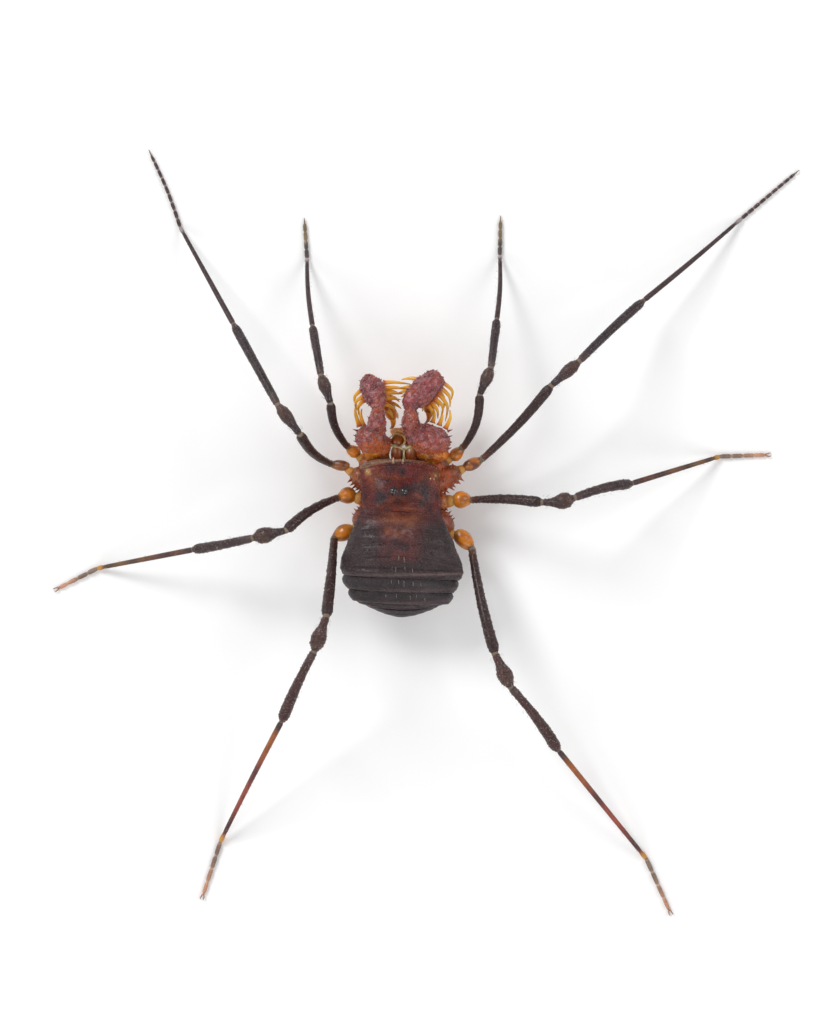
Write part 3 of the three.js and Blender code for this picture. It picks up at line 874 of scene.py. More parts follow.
def head_colour(place):
    """Red-brown with orange and blue-black patches, yellow spots and a pale front rim."""
    across, along = own_places(place)
    shade = tone("shield")
    shade = blended(shade, tone("shield_orange"), 0.8 * step_at(cloudy(place, 2.6, 3), 0.62, 0.3))
    shade = blended(shade, tone("shield_dark"), 0.7 * step_at(cloudy(place, 3.4, 11), 0.66, 0.3))
    for side in (-1, 1):
        patch = bump_at(across, along, side * 0.665, 1.04, 0.17, 0.34) * (0.5 + cloudy(place, 5.0))
        shade = blended(shade, tone("shield_dark"), 1.1 * patch)
        corner = bump_at(across, along, side * 0.95, 1.72, 0.28, 0.3)
        shade = blended(shade, tone("shield_orange"), 0.8 * corner)
    mask = bump_at(across, along, MOUND[0], MOUND[1] - 0.02, 0.27, 0.15)
    shade = blended(shade, colour("241a20"), 0.85 * min(mask * 1.3, 1.0))
    for x, y, wide in YELLOW_SPOTS:
        reach = wide * (0.6 + 0.8 * cloudy(place, 9.0, 2))
        shade = blended(shade, tone("coxa_pale"), bump_at(across, along, x, y, reach, reach))
    shade = blended(shade, tone("shield_orange"), 0.5 * bump_at(across, along, 0.0, 0.72, 0.6, 0.12))
    shade = blended(shade, tone("rim"), 0.9 * step_at(along + FRONT_BEND * across * across, 2.1, 0.05))
    return shade


class HARVESTMAN_OT_head_shield(bpy.types.Operator):
    """Model the head shield with the mound that carries the eyes"""

    bl_idname = "harvestman.head_shield"
    bl_label = "Head shield"

    def execute(self, context):
        form = plate_form(
            SHIELD_FRONT, SULCUS - SULCUS_GAP, half_width, top_height, margin_height, head_relief
        )
        walled(form)
        tinted(form, head_colour)
        swarm = Swarm(granule_template())
        size = size_of("granule")
        random.seed(5)
        for root, out in scattered(form, GRANULES["head"], 5, lowest=0.1):
            shade = head_colour(root)
            pale = blended(shade, tone("rim"), random.choice((0.0, 0.1, 0.3)))
            radius = size * random.uniform(0.5, 1.15)
            swarm.add(root, out, radius, radius * 0.8, shade, pale)
        thorns = Swarm(thorn_template(8))
        for offset in (-0.145, 0.145):
            root = body_place(MOUND[0] + offset, 2.06, 1.95)
            thorns.add(root, Vector((0, 0.8, 0.5)), 0.075, 0.17, tone("rim"), tone("cream"))
        beads = 26
        for i in range(beads):
            across = -1.1 + 2.2 * (i + random.uniform(-0.35, 0.35)) / (beads - 1)
            if abs(across - MOUND[0]) > 0.2:
                _, root, _, _ = form.closest_point_on_mesh(body_place(across, 2.12 - 0.14 * across**2, 2.0))
                bead = blended(tone("rim"), tone("cream"), random.uniform(0.0, 0.6))
                wide = random.uniform(0.014, 0.028)
                swarm.add(root, Vector((0, 0.5, 0.8)), wide, wide, tone("rim"), bead)
        for x, y, wide in YELLOW_SPOTS:
            _, root, out, _ = form.closest_point_on_mesh(body_place(x, y, 2.3))
            swarm.add(root, out, wide * 0.5, wide * 0.5, tone("coxa_pale"), tone("cream"))
        whole = joined([form, swarm.made(), thorns.made()])
        finished(whole, "head_shield_plate", "shield", "shield", ["head_shield"])
        return {"FINISHED"}


class HARVESTMAN_OT_eyes(bpy.types.Operator):
    """Model the two shiny eyes in their rims"""

    bl_idname = "harvestman.eyes"
    bl_label = "Eyes"

    def execute(self, context):
        for side, name in ((-1, "eye_left"), (1, "eye_right")):
            centre = body_place(MOUND[0] + side * EYE_SPREAD, MOUND[1] + 0.02, 2.545)
            ball = lump(centre, (EYE_RADIUS, EYE_RADIUS, 0.1), detail=32)
            tinted(ball, lambda place: (0.01, 0.01, 0.012))
            finished(ball, name + "_lens", "lens", "eye", [name])
            rim = added(
                bpy.ops.mesh.primitive_torus_add,
                major_radius=EYE_RADIUS,
                minor_radius=0.03,
                major_segments=32,
                minor_segments=10,
            )
            lean = Matrix.Rotation(math.radians(24 * side), 4, "Y")
            set_back = centre - Vector((side * 0.015, 0, 0.03))
            rim.data.transform(Matrix.Translation(set_back) @ lean)
            roughened(rim, strength=0.012, scale=0.05)
            tinted(rim, lambda place: tone("shield_dark"))
            finished(rim, name + "_rim", "shield", "shield")
        return {"FINISHED"}


def abdomen_relief(across, along):
    """The faint cross furrows of the fused plates and the raised rear rim."""
    high = 0.0
    for furrow in (0.12, -0.33, -0.76):
        high -= 0.035 * ridge_at(along + 0.07 * across * across, furrow, 0.05)
    high += 0.05 * bump_at(across, along, 0.0, 0.35, 0.7, 0.16)
    high += 0.07 * ridge_at(along, -1.24, 0.05)
    high -= 0.05 * ridge_at(along, -1.12, 0.045)
    return high


# Paler brown patches of the abdomen: across, along, half width, strength
ABDOMEN_PATCHES = [
    (-0.35, 0.42, 0.3, 0.9),
    (0.3, 0.42, 0.3, 0.8),
    (-0.4, 0.05, 0.14, 0.6),
    (0.25, 0.2, 0.25, 0.5),
    (-0.1, 0.0, 0.2, 0.5),
]


def abdomen_colour(place):
    """Red-brown in the middle, brown-black at the sides and rear, with patches and a lighter rim."""
    across, along = own_places(place)
    middle = math.exp(-((across / 0.62) ** 4)) * step_at(along, -0.85, 0.3)
    shade = blended(tone("abdomen"), tone("abdomen_middle"), middle)
    front = step_at(along, 0.28, 0.5) * (1 - 0.3 * abs(across))
    shade = blended(shade, tone("shield"), 0.65 * front)
    shade = blended(shade, tone("shield_dark"), 0.8 * step_at(cloudy(place, 3.0, 5), 0.6, 0.3) * middle)
    for x, y, wide, amount in ABDOMEN_PATCHES:
        amount *= 0.5 + cloudy(place, 4.5, 9)
        shade = blended(shade, colour("9c5a3a"), amount * bump_at(across, along, x, y, wide, 0.14))
    pale = bump_at(across, along, 0.0, -0.02, 0.4, 0.16) * step_at(cloudy(place, 5.0, 2), 0.55, 0.2)
    shade = blended(shade, colour("a07a78"), 0.6 * pale)
    return blended(shade, colour("776260"), 0.85 * ridge_at(along, -1.27, 0.045))


# The rear plates sit a little to the animal's left
REAR_SHIFT = -0.045
END_FOLD_BEND = 0.16  # how the end plate's fold curves, by the square of the distance across
# Free plates: name, front, rear, half width, bow, top at front, top at rear, margin height, nodes
FREE_PLATES = [
    ("free_tergite_1_plate", -1.2, -1.74, 1.73, 0.05, 2.5, 2.3, 1.66, ["free_tergite_1"]),
    ("free_tergite_2_plate", -1.62, -2.08, 1.56, 0.07, 2.24, 1.96, 1.52, ["free_tergite_2"]),
    ("free_tergite_3_plate", -1.95, -2.12, 1.34, 0.17, 1.93, 1.75, 1.4, []),
]


def free_plate(name, front, rear, widest, bow, top_front, top_rear, margin, nodes, seed):
    """One free plate of the abdomen: a curved band whose rear rim overhangs the next."""
    length = front - rear
    taper = 0.86

    def width(at):
        share = (front - at) / length
        return widest * (taper + (1 - taper) * math.sin(math.pi * min(share * 0.8 + 0.1, 1)))

    def top(at):
        share = (front - at) / length
        return top_front + (top_rear - top_front) * share + 0.05 * math.sin(math.pi * share)

    def relief(across, at):
        share = (front - at) / length
        return 0.04 * ridge_at(share, 0.93, 0.08) - 0.1 * step_at(share, 0.99, 0.05)

    def bowed(place):
        across, _ = own_places(place)
        share = 1 - (across / widest) ** 2
        return place - ALONG * (bow * share) + ACROSS * REAR_SHIFT

    def shade_at(place):
        across, along = own_places(place)
        edge = rear - bow * (1 - (across / widest) ** 2)
        return blended(tone("plate"), tone("plate_rim"), 0.75 * ridge_at(along - edge, 0.03, 0.05))

    obj = plate_form(front, rear, width, top, lambda at: margin, relief, tuck=112, columns=120, rows=26)
    moulded(obj, bowed)
    walled(obj)
    tinted(obj, shade_at)
    beads = {"lowest": 0.0, "spread": (0.45, 0.9), "pales": (0.0, 0.15, 0.4)}
    obj = beaded(obj, shade_at, GRANULES["free_plate"], seed, **beads)
    finished(obj, name, "shield", "abdomen", nodes)


class HARVESTMAN_OT_abdomen(bpy.types.Operator):
    """Model the abdomen's shield, its free plates and the end plate"""

    bl_idname = "harvestman.abdomen"
    bl_label = "Abdomen"

    def execute(self, context):
        form = plate_form(
            SULCUS + SULCUS_GAP, SHIELD_REAR, half_width, top_height, margin_height, abdomen_relief
        )
        walled(form)
        tinted(form, abdomen_colour)
        beads = {"lowest": 0.05, "spread": (0.45, 1.0), "pales": (0.0, 0.1, 0.35)}
        form = beaded(form, abdomen_colour, GRANULES["abdomen"], 8, **beads)
        finished(form, "abdomen_shield_plate", "shield", "abdomen", ["abdomen_shield"])
        for seed, row in enumerate(FREE_PLATES, 20):
            free_plate(*row, seed)
        self.end_plate()
        return {"FINISHED"}

    def end_plate(self):
        """The cap over the abdomen's end, with a lip that closes its tip."""
        width = through(
            (-1.8, 1.2), (-2.05, 1.24), (-2.17, 1.12), (-2.25, 0.98), (-2.36, 0.72), (-2.45, 0.48),
            (-2.51, 0.22), (-2.53, 0.08),
        )
        top = through((-1.8, 1.9), (-2.1, 1.8), (-2.3, 1.66), (-2.45, 1.5), (-2.53, 1.38))

        def relief(across, along):
            fold = ridge_at(along - END_FOLD_BEND * across * across, -2.3, 0.03)
            return 0.02 * cloudy(Vector((across, along, 0)), 6.0) - 0.06 * fold

        def shade_at(place):
            across, along = own_places(place)
            fold = ridge_at(along - END_FOLD_BEND * across * across, -2.27, 0.03)
            return blended(tone("plate"), tone("plate_rim"), 0.8 * fold)

        cap = plate_form(-1.8, -2.53, width, top, lambda at: 1.3, relief, tuck=125, columns=90, rows=50)
        moulded(cap, lambda place: place + ACROSS * REAR_SHIFT * 1.5)
        walled(cap)
        lip = lump(body_place(REAR_SHIFT * 1.5, -2.445, 1.32), (0.26, 0.085, 0.09), CROSS_HEADING)
        cap = joined([cap, lip])
        tinted(cap, shade_at)
        finished(cap, "anal_plate_cap", "shield", "abdomen", ["anal_plate"])


# The soft body under the plates: its underside, half width and top by the distance along
BELLY_RING = 0.36  # length of one of the belly's rings
under_height = through(
    (2.0, 1.4), (0.6, 1.2), (-0.1, 1.05), (-0.6, 0.98), (-1.4, 0.98), (-2.1, 1.08), (-2.5, 1.2)
)
core_width = through(
    (2.05, 0.5), (1.8, 1.02), (1.0, 1.05), (0.5, 1.1), (-0.3, 1.42), (-1.1, 1.66),
    (-1.6, 1.56), (-2.05, 1.2), (-2.35, 0.7), (-2.48, 0.25),
)
core_top = through(
    (2.05, 1.8), (1.5, 2.05), (0.6, 2.1), (-0.3, 2.5), (-1.1, 2.5), (-1.7, 2.1), (-2.2, 1.62), (-2.48, 1.3)
)


class HARVESTMAN_OT_belly(bpy.types.Operator):
    """Model the soft body under the plates, with the ridged plates of the belly"""

    bl_idname = "harvestman.belly"
    bl_label = "Belly"

    def execute(self, context):
        core = added(bpy.ops.mesh.primitive_uv_sphere_add, segments=96, ring_count=110, radius=1)
        front, rear = 2.05, -2.48

        def ring_wave(along):
            return math.cos((along + 2.4) * math.tau / BELLY_RING)

        def carry(place):
            share = math.acos(min(max(place.z, -1), 1)) / math.pi
            at = front + (rear - front) * share
            reach = min(1.0, math.sin(math.pi * share) * 3.2)
            angle = math.atan2(place.y, place.x)
            middle = margin_height(at)
            across = core_width(at) * reach * math.cos(angle)
            if place.y > 0:
                high = middle + (core_top(at) - middle) * reach * math.sin(angle) ** 0.9
            else:
                low = abs(math.sin(angle)) ** 0.8
                high = middle - (middle - under_height(at)) * reach * low
                high += 0.035 * ring_wave(at) * step_at(-at, 0.2, 0.3) * low
            return body_place(across, at, high)

        moulded(core, carry)
        faces_out(core)
        roughened(core, strength=0.02, scale=0.15)

        def shade_at(place):
            _, along = own_places(place)
            shade = blended(colour("6b4a3e"), tone("abdomen"), 0.5 + 0.5 * ring_wave(along))
            return blended(shade, tone("coxa"), step_at(along, 0.4, 0.5) * 0.8)

        tinted(core, shade_at)
        finished(core, "soft_body", "coxa", "abdomen")
        return {"FINISHED"}


# The leg roots by leg pair: place along the body, girth, the pale ring at the end
COXA_ROOTS = {"palp": 1.6, 1: 1.35, 2: 1.1, 3: 0.8, 4: 0.5}
COXA_SIZES = {"palp": 0.3, 1: 0.3, 2: 0.33, 3: 0.3, 4: 0.37}
COXA_RINGS = {1: 0.135, 2: 0.14, 3: 0.19, 4: 0.17}
COXA_HEIGHT = 1.2
coxa_profile = through(
    (0, 0.8), (0.2, 0.95), (0.45, 1.08), (0.7, 1.02), (0.86, 0.86), (0.95, 0.66), (1, 0.4)
)
# Rows of tubercles: 1 on the front edge or -1 on the rear edge, how many, how long
COXA_ROWS = {
    "palp": [(1, 2, 0.1)],
    1: [(1, 4, 0.12), (-1, 3, 0.1)],
    2: [(-1, 6, 0.12), (-1, 5, 0.08), (1, 3, 0.07)],
    3: [(1, 4, 0.12), (-1, 3, 0.1)],
    4: [(1, 6, 0.125), (1, 5, 0.1)],
}
PALP_HIPS = {-1: Vector((-1.27, 2.42, 1.3)), 1: Vector((0.14, 2.38, 1.3))}


def curve_points(knots, steps):
    """Places along a smooth line through the knots, with a number of steps between each two."""
    found = []
    last = len(knots) - 1
    for i in range(last):
        a, b = knots[i], knots[i + 1]
        leaving = (b - knots[max(i - 1, 0)]) * 0.5
        arriving = (knots[min(i + 2, last)] - a) * 0.5
        for k in range(steps):
            t = k / steps
            found.append(
                a * (2 * t**3 - 3 * t**2 + 1)
                + leaving * (t**3 - 2 * t**2 + t)
                + b * (-2 * t**3 + 3 * t**2)
                + arriving * (t**3 - t**2)
            )
    found.append(knots[-1])
    return found


class HARVESTMAN_OT_coxae(bpy.types.Operator):
    """Model the leg roots round the breastplate, with their tubercles and pale ends"""

    bl_idname = "harvestman.coxae"
    bl_label = "Coxae"

    def execute(self, context):
        random.seed(31)
        thorns = Swarm(thorn_template(7))
        lobes = Strands(6)
        pale = Strands(5)
        owners = [(leg.kind, leg.side, leg.joints[0], leg.ball[0]) for leg in LEGS]
        owners += [("palp", side, place, 0.2) for side, place in PALP_HIPS.items()]
        for kind, side, hip, ball in owners:
            self.lobe(lobes, pale, thorns, kind, side, hip, ball)
        base = lump(body_place(0, 0.95, 1.16), (0.5, 1.0, 0.3), CROSS_HEADING, 40)
        tinted(base, lambda place: tone("coxa"))
        whole = joined([lobes.made(), base, thorns.made()])
        finished(whole, "coxae_and_breastplate", "coxa", "coxae", ["coxae"])
        finished(pale.made(), "coxa_ends", "membrane", "coxae")
        return {"FINISHED"}

    def lobe(self, lobes, pale, thorns, kind, side, hip, ball):
        """One leg root, from the breastplate to the hip, with its pale ring and tubercles."""
        root = body_place(side * 0.25, COXA_ROOTS[kind], COXA_HEIGHT)
        way = (hip - root).normalized()
        end = hip - way * (ball + 0.1)
        flank = UP.cross(way) * side
        bulge = flank * (0.2 if kind == 4 else 0.0)

        def middle_at(share):
            return root.lerp(end, share) + bulge * math.sin(math.pi * share**1.3)

        def girth_at(share):
            return COXA_SIZES[kind] * coxa_profile(share)

        def shade_at(share):
            shade = blended(tone("coxa"), tone("coxa_pale"), 0.55 * step_at(share, 0.9, 0.2))
            brown = step_at(cloudy(middle_at(share), 3.0), 0.5, 0.4)
            return blended(shade, colour("6e2a1c"), 0.7 * brown)

        lobes.along([middle_at(i / 16) for i in range(17)], girth_at, shade_at)
        if kind in COXA_RINGS:
            ring = [end + way * reach for reach in (-0.12, -0.05, 0.03, 0.1, 0.2)]
            radii = [COXA_RINGS[kind] * share for share in (0.8, 1.0, 0.98, 0.85, 0.6)]
            pale.add(ring, radii, [tone("coxa"), *[tone("coxa_pale")] * 3, tone("trochanter")])
        for level, (towards, count, high) in enumerate(COXA_ROWS[kind]):
            for i in range(count):
                share = 0.5 + 0.46 * (i + 0.5) / count + random.uniform(-0.02, 0.02)
                edge = flank * towards
                out = (edge + UP * (0.15 + 0.5 * level) + way * 0.3).normalized()
                foot = middle_at(share) + (edge + UP * 0.5 * level).normalized() * girth_at(share) * 0.9
                tall = high * random.uniform(0.75, 1.3)
                lean = way * tall * 0.2
                thorns.add(foot, out, 0.07, tall + 0.03, tone("coxa"), colour("6e2a14"), lean)
        for _ in range(60):
            share = random.uniform(0.3, 0.95)
            angle = random.uniform(0, math.tau)
            out = (flank * math.cos(angle) + way.cross(flank) * math.sin(angle)).normalized()
            foot = middle_at(share) + out * girth_at(share) * 0.96
            tall = random.uniform(0.025, 0.06)
            tip = random.choice((tone("coxa_pale"), tone("coxa")))
            thorns.add(foot, out, 0.026, tall, tone("coxa"), tip)


def chelicera(x, hand, deep):
    """The stalk, the hand and the two fingers of one chelicera."""
    strands = Strands(6)
    brown = tone("chelicera")
    light = blended(brown, tone("trochanter"), 0.35)
    stalk = vectors((x, 2.05, 1.5), (x, 2.16, 1.56), (x, 2.3, 1.58), (x, 2.44, 1.56), (x, 2.53, 1.52))
    strands.add(stalk, [0.13, 0.17, 0.185, 0.175, 0.13], [light, brown, brown, brown, tone("cream")])
    palm = vectors(
        (0, 0, 0.3 * deep), (0, 0.02, 0.2 * deep), (0, 0, 0), (0, 0, -0.2 * deep), (0, -0.01, -0.32 * deep)
    )
    palm = [hand + step for step in palm]
    strands.add(palm, [0.1, 0.18, 0.2, 0.17, 0.1], [light, brown, brown, brown, light])
    for side in (-1, 1):
        start = hand + Vector((side * 0.07, 0.01, -0.24 * deep))
        bends = vectors(
            (0, 0, 0), (side * 0.03, 0.02, -0.12), (side * 0.015, 0, -0.24), (side * -0.04, -0.02, -0.32)
        )
        finger = curve_points([start + bend for bend in bends], 4)
        strands.along(finger, lambda share: 0.065 - 0.054 * share, fading(light, tone("amber_tip")))
    return strands.made()


class HARVESTMAN_OT_chelicerae(bpy.types.Operator):
    """Model the two chelicerae with their hands, fingers and cream membranes"""

    bl_idname = "harvestman.chelicerae"
    bl_label = "Chelicerae"

    def execute(self, context):
        for name, x, hand, deep in (
            ("left", -0.89, Vector((-0.88, 2.7, 1.42)), 1.0),
            ("right", -0.48, Vector((-0.5, 2.68, 1.3)), 0.9),
        ):
            obj = chelicera(x, hand, deep)
            roughened(obj, strength=0.008, scale=0.06)
            finished(obj, f"chelicera_{name}_claw", "polished", "chelicera", [f"chelicera_{name}"])
        self.membranes()
        lip = grown_together(
            [
                lump((-0.9, 2.98, 1.36), (0.2, 0.12, 0.1)),
                lump((-0.72, 3.02, 1.34), (0.14, 0.1, 0.09)),
                lump((-0.78, 2.9, 1.3), (0.2, 0.2, 0.08)),
            ],
            voxel=0.02,
            rounds=4,
        )
        tinted(lip, lambda place: blended(tone("cream"), tone("trochanter"), 0.45))
        finished(lip, "mouth_folds", "membrane", "chelicera")
        return {"FINISHED"}

    def membranes(self):
        """The cream arc under the shield's edge, the seam between the stalks, the folds of the mouth."""
        cream = tone("cream")
        arc = vectors(
            (-1.17, 2.5, 1.62), (-1.0, 2.57, 1.68), (-0.86, 2.53, 1.7), (-0.69, 2.46, 1.7),
            (-0.52, 2.53, 1.7), (-0.36, 2.57, 1.66), (-0.24, 2.53, 1.6),
        )
        seam = vectors((-0.685, 2.1, 1.66), (-0.685, 2.3, 1.72), (-0.685, 2.47, 1.7))
        fold = vectors(
            (-1.02, 2.88, 1.5), (-0.9, 2.97, 1.5), (-0.75, 2.95, 1.5), (-0.66, 2.86, 1.5),
            (-0.68, 2.72, 1.52),
        )
        turns = [math.tau * i / 28 for i in range(29)]
        ring = vectors(*[
            (-0.885 + 0.235 * math.cos(turn), 2.715 + 0.19 * math.sin(turn), 1.66 - 0.05 * math.sin(turn))
            for turn in turns
        ])
        soft = Strands(4)
        soft.along(curve_points(arc, 6), lambda share: 0.035, lambda share: cream)
        soft.add(seam, [0.03, 0.032, 0.03], [cream] * 3)
        warm = blended(cream, tone("trochanter"), 0.35)
        soft.along(curve_points(fold, 6), lambda share: 0.04, lambda share: warm)
        gold = blended(cream, tone("trochanter"), 0.45)
        soft.add(ring, [0.026 + 0.008 * math.sin(i) for i in range(29)], [gold] * 29)
        finished(soft.made(), "mouth_membranes", "membrane", "chelicera")


# The pedipalps' places. Root: middle and three radii of each lump. Femur: the same and the lump's heading.
# Patella, tibia and tarsus: middle and radius of each station. Claw: its line. Spines: root, bend and tip.
Palp = namedtuple("Palp", "name side root femur patella tibia tarsus claw spines")
PALPS = [
    Palp(
        "palp_left", -1,
        [((-1.62, 2.38, 1.5), (0.3, 0.24, 0.3)), ((-1.35, 2.42, 1.52), (0.26, 0.26, 0.3)),
         ((-1.46, 2.2, 1.3), (0.38, 0.22, 0.24))],
        [((-1.66, 2.77, 1.84), (0.46, 0.42, 0.5), 0), ((-1.52, 3.02, 2.1), (0.3, 0.22, 0.28), 0),
         ((-1.38, 2.6, 1.6), (0.3, 0.32, 0.32), 0)],
        [((-1.49, 3.12, 2.2), 0.26), ((-1.49, 3.25, 2.36), 0.27), ((-1.47, 3.42, 2.42), 0.225),
         ((-1.45, 3.6, 2.43), 0.17), ((-1.45, 3.72, 2.42), 0.15)],
        [((-1.45, 3.66, 2.42), 0.17), ((-1.47, 3.78, 2.38), 0.22), ((-1.5, 3.92, 2.3), 0.295),
         ((-1.55, 4.1, 2.2), 0.325), ((-1.61, 4.28, 2.14), 0.37), ((-1.59, 4.42, 2.08), 0.34),
         ((-1.54, 4.51, 2.04), 0.27)],
        [((-1.5, 4.4, 1.75), 0.14), ((-1.4, 4.2, 1.62), 0.19), ((-1.2, 3.8, 1.5), 0.2),
         ((-1.06, 3.5, 1.42), 0.17), ((-1.03, 3.36, 1.38), 0.12)],
        [(-1.04, 3.42, 1.4), (-1.0, 3.25, 1.32), (-1.03, 3.12, 1.2), (-1.1, 3.06, 1.06)],
        [
            # inner row of the tibia
            ((-1.3, 4.42, 1.98), (-0.95, 4.44, 1.9), (-0.46, 4.38, 1.7)),
            ((-1.3, 4.27, 1.98), (-0.92, 4.28, 1.88), (-0.5, 4.22, 1.72)),
            ((-1.28, 3.98, 2.0), (-1.02, 3.96, 1.86), (-0.78, 3.92, 1.74)),
            ((-1.3, 4.12, 1.98), (-1.0, 4.12, 1.84), (-0.7, 4.1, 1.68)),
            # inner row of the tarsus, and shorter spines under the tibia
            ((-1.12, 3.84, 1.5), (-0.92, 3.78, 1.42), (-0.76, 3.66, 1.34)),
            ((-1.02, 3.62, 1.44), (-0.9, 3.5, 1.38), (-0.86, 3.36, 1.3)),
            ((-1.1, 4.0, 1.52), (-0.95, 3.98, 1.44), (-0.82, 3.86, 1.36)),
            ((-1.3, 3.82, 2.0), (-1.08, 3.72, 1.86), (-0.9, 3.58, 1.72)),
            ((-1.28, 4.2, 1.9), (-1.05, 4.18, 1.76), (-0.86, 4.14, 1.6)),
            ((-1.2, 3.66, 1.7), (-1.06, 3.5, 1.62), (-1.0, 3.34, 1.5)),
            # outer row of the tibia
            ((-1.84, 4.05, 1.98), (-2.1, 3.86, 1.82), (-2.1, 3.6, 1.66)),
            ((-1.84, 3.92, 2.0), (-2.04, 3.7, 1.8), (-1.98, 3.36, 1.62)),
            ((-1.9, 4.25, 1.96), (-2.14, 4.02, 1.78), (-2.13, 3.76, 1.64)),
            # front edge of the femur
            ((-2.0, 3.12, 1.8), (-2.12, 3.5, 1.82), (-2.12, 3.78, 1.76)),
            ((-1.88, 3.14, 1.78), (-1.96, 3.44, 1.78), (-1.93, 3.66, 1.72)),
        ],
    ),
    Palp(
        "palp_right", 1,
        [((0.3, 2.32, 1.5), (0.36, 0.24, 0.3)), ((-0.02, 2.36, 1.5), (0.34, 0.26, 0.3)),
         ((0.12, 2.12, 1.3), (0.46, 0.22, 0.24))],
        [((0.04, 2.75, 1.86), (0.66, 0.44, 0.5), -16), ((-0.42, 3.02, 2.06), (0.3, 0.24, 0.3), 0),
         ((0.15, 2.52, 1.62), (0.36, 0.27, 0.3), 0)],
        [((-0.46, 3.12, 2.16), 0.27), ((-0.49, 3.26, 2.3), 0.27), ((-0.49, 3.44, 2.36), 0.225),
         ((-0.49, 3.62, 2.38), 0.165), ((-0.48, 3.74, 2.38), 0.15)],
        [((-0.48, 3.66, 2.38), 0.18), ((-0.45, 3.82, 2.34), 0.29), ((-0.34, 3.97, 2.28), 0.36),
         ((-0.1, 4.22, 2.16), 0.37), ((0.14, 4.42, 2.07), 0.35), ((0.29, 4.54, 2.01), 0.3),
         ((0.38, 4.61, 1.98), 0.24)],
        [((0.22, 4.5, 1.7), 0.14), ((0.2, 4.3, 1.6), 0.19), ((0.12, 3.95, 1.48), 0.2),
         ((0.06, 3.7, 1.42), 0.17), ((0.04, 3.56, 1.38), 0.12)],
        [(0.04, 3.6, 1.38), (0.06, 3.44, 1.3), (0.02, 3.3, 1.2), (-0.06, 3.24, 1.06)],
        [
            # inner row of the tibia
            ((-0.24, 4.52, 2.0), (-0.5, 4.56, 1.92), (-0.75, 4.52, 1.84)),
            ((-0.42, 4.3, 2.02), (-0.6, 4.3, 1.9), (-0.84, 4.26, 1.8)),
            ((-0.52, 4.08, 2.04), (-0.64, 4.06, 1.92), (-0.78, 4.0, 1.82)),
            # outer row of the tibia
            ((0.38, 4.3, 1.94), (0.66, 4.02, 1.8), (0.68, 3.7, 1.66)),
            ((0.3, 4.14, 1.96), (0.6, 3.74, 1.76), (0.54, 3.28, 1.58)),
            ((0.2, 3.98, 1.98), (0.44, 3.76, 1.78), (0.47, 3.5, 1.64)),
            ((0.1, 3.86, 1.98), (0.3, 3.62, 1.78), (0.32, 3.36, 1.62)),
            ((0.42, 4.46, 1.92), (0.74, 4.2, 1.8), (0.72, 3.92, 1.68)),
            # front edge of the femur
            ((0.54, 3.06, 1.8), (0.68, 3.36, 1.84), (0.68, 3.62, 1.8)),
            ((0.36, 3.16, 1.8), (0.44, 3.4, 1.82), (0.44, 3.6, 1.76)),
            ((0.16, 3.24, 1.8), (0.22, 3.46, 1.82), (0.2, 3.64, 1.76)),
            # both rows of the tarsus
            ((0.16, 3.98, 1.48), (0.3, 3.84, 1.4), (0.36, 3.7, 1.32)),
            ((0.06, 3.84, 1.46), (-0.08, 3.72, 1.38), (-0.14, 3.58, 1.3)),
            # under the tibia
            ((0.0, 3.78, 1.96), (0.14, 3.6, 1.8), (0.14, 3.42, 1.66)),
            ((-0.5, 4.2, 1.96), (-0.66, 4.18, 1.84), (-0.86, 4.12, 1.72)),
            ((0.3, 4.24, 1.86), (0.5, 3.96, 1.72), (0.5, 3.66, 1.58)),
        ],
    ),
]


def palp_colour(place, warm):
    """Purple-red with red-brown, dark and pale patches; warm leans it to red-brown."""
    shade = blended(tone("palp"), tone("palp_warm"), warm + 0.7 * step_at(cloudy(place, 2.0, 1), 0.6, 0.5))
    shade = blended(shade, colour("5a2830"), 0.55 * step_at(cloudy(place, 5.0, 6), 0.6, 0.3))
    return blended(shade, colour("bd8289"), 0.5 * step_at(cloudy(place, 9.0, 12), 0.6, 0.3))


def granulated(obj, count, seed, shade_at, size):
    """Covers a form with granules whose tops are paler."""
    swarm = Swarm(granule_template())
    random.seed(seed)
    for root, out in scattered(obj, count, seed):
        shade = shade_at(root)
        radius = size * random.uniform(0.6, 1.5)
        pale = random.choice((0.0, 0.1, 0.3, 0.6))
        dark = blended(shade, colour("3a1c1e"), random.choice((0.0, 0.0, 0.0, 0.45)))
        swarm.add(root, out, radius, radius * 1.1, dark, blended(dark, colour("e0bdb4"), pale))
    return joined([obj, swarm.made()])


def station_tube(stations, roundness, shade):
    """A tube of one colour through stations, each a place and a radius."""
    last = len(stations) - 1
    line = curve_points(vectors(*[place for place, _ in stations]), 5)
    radius_at = through(*[(i / last, radius) for i, (_, radius) in enumerate(stations)])
    tube = Strands(roundness)
    tube.along(line, radius_at, lambda share: shade)
    return tube.made()


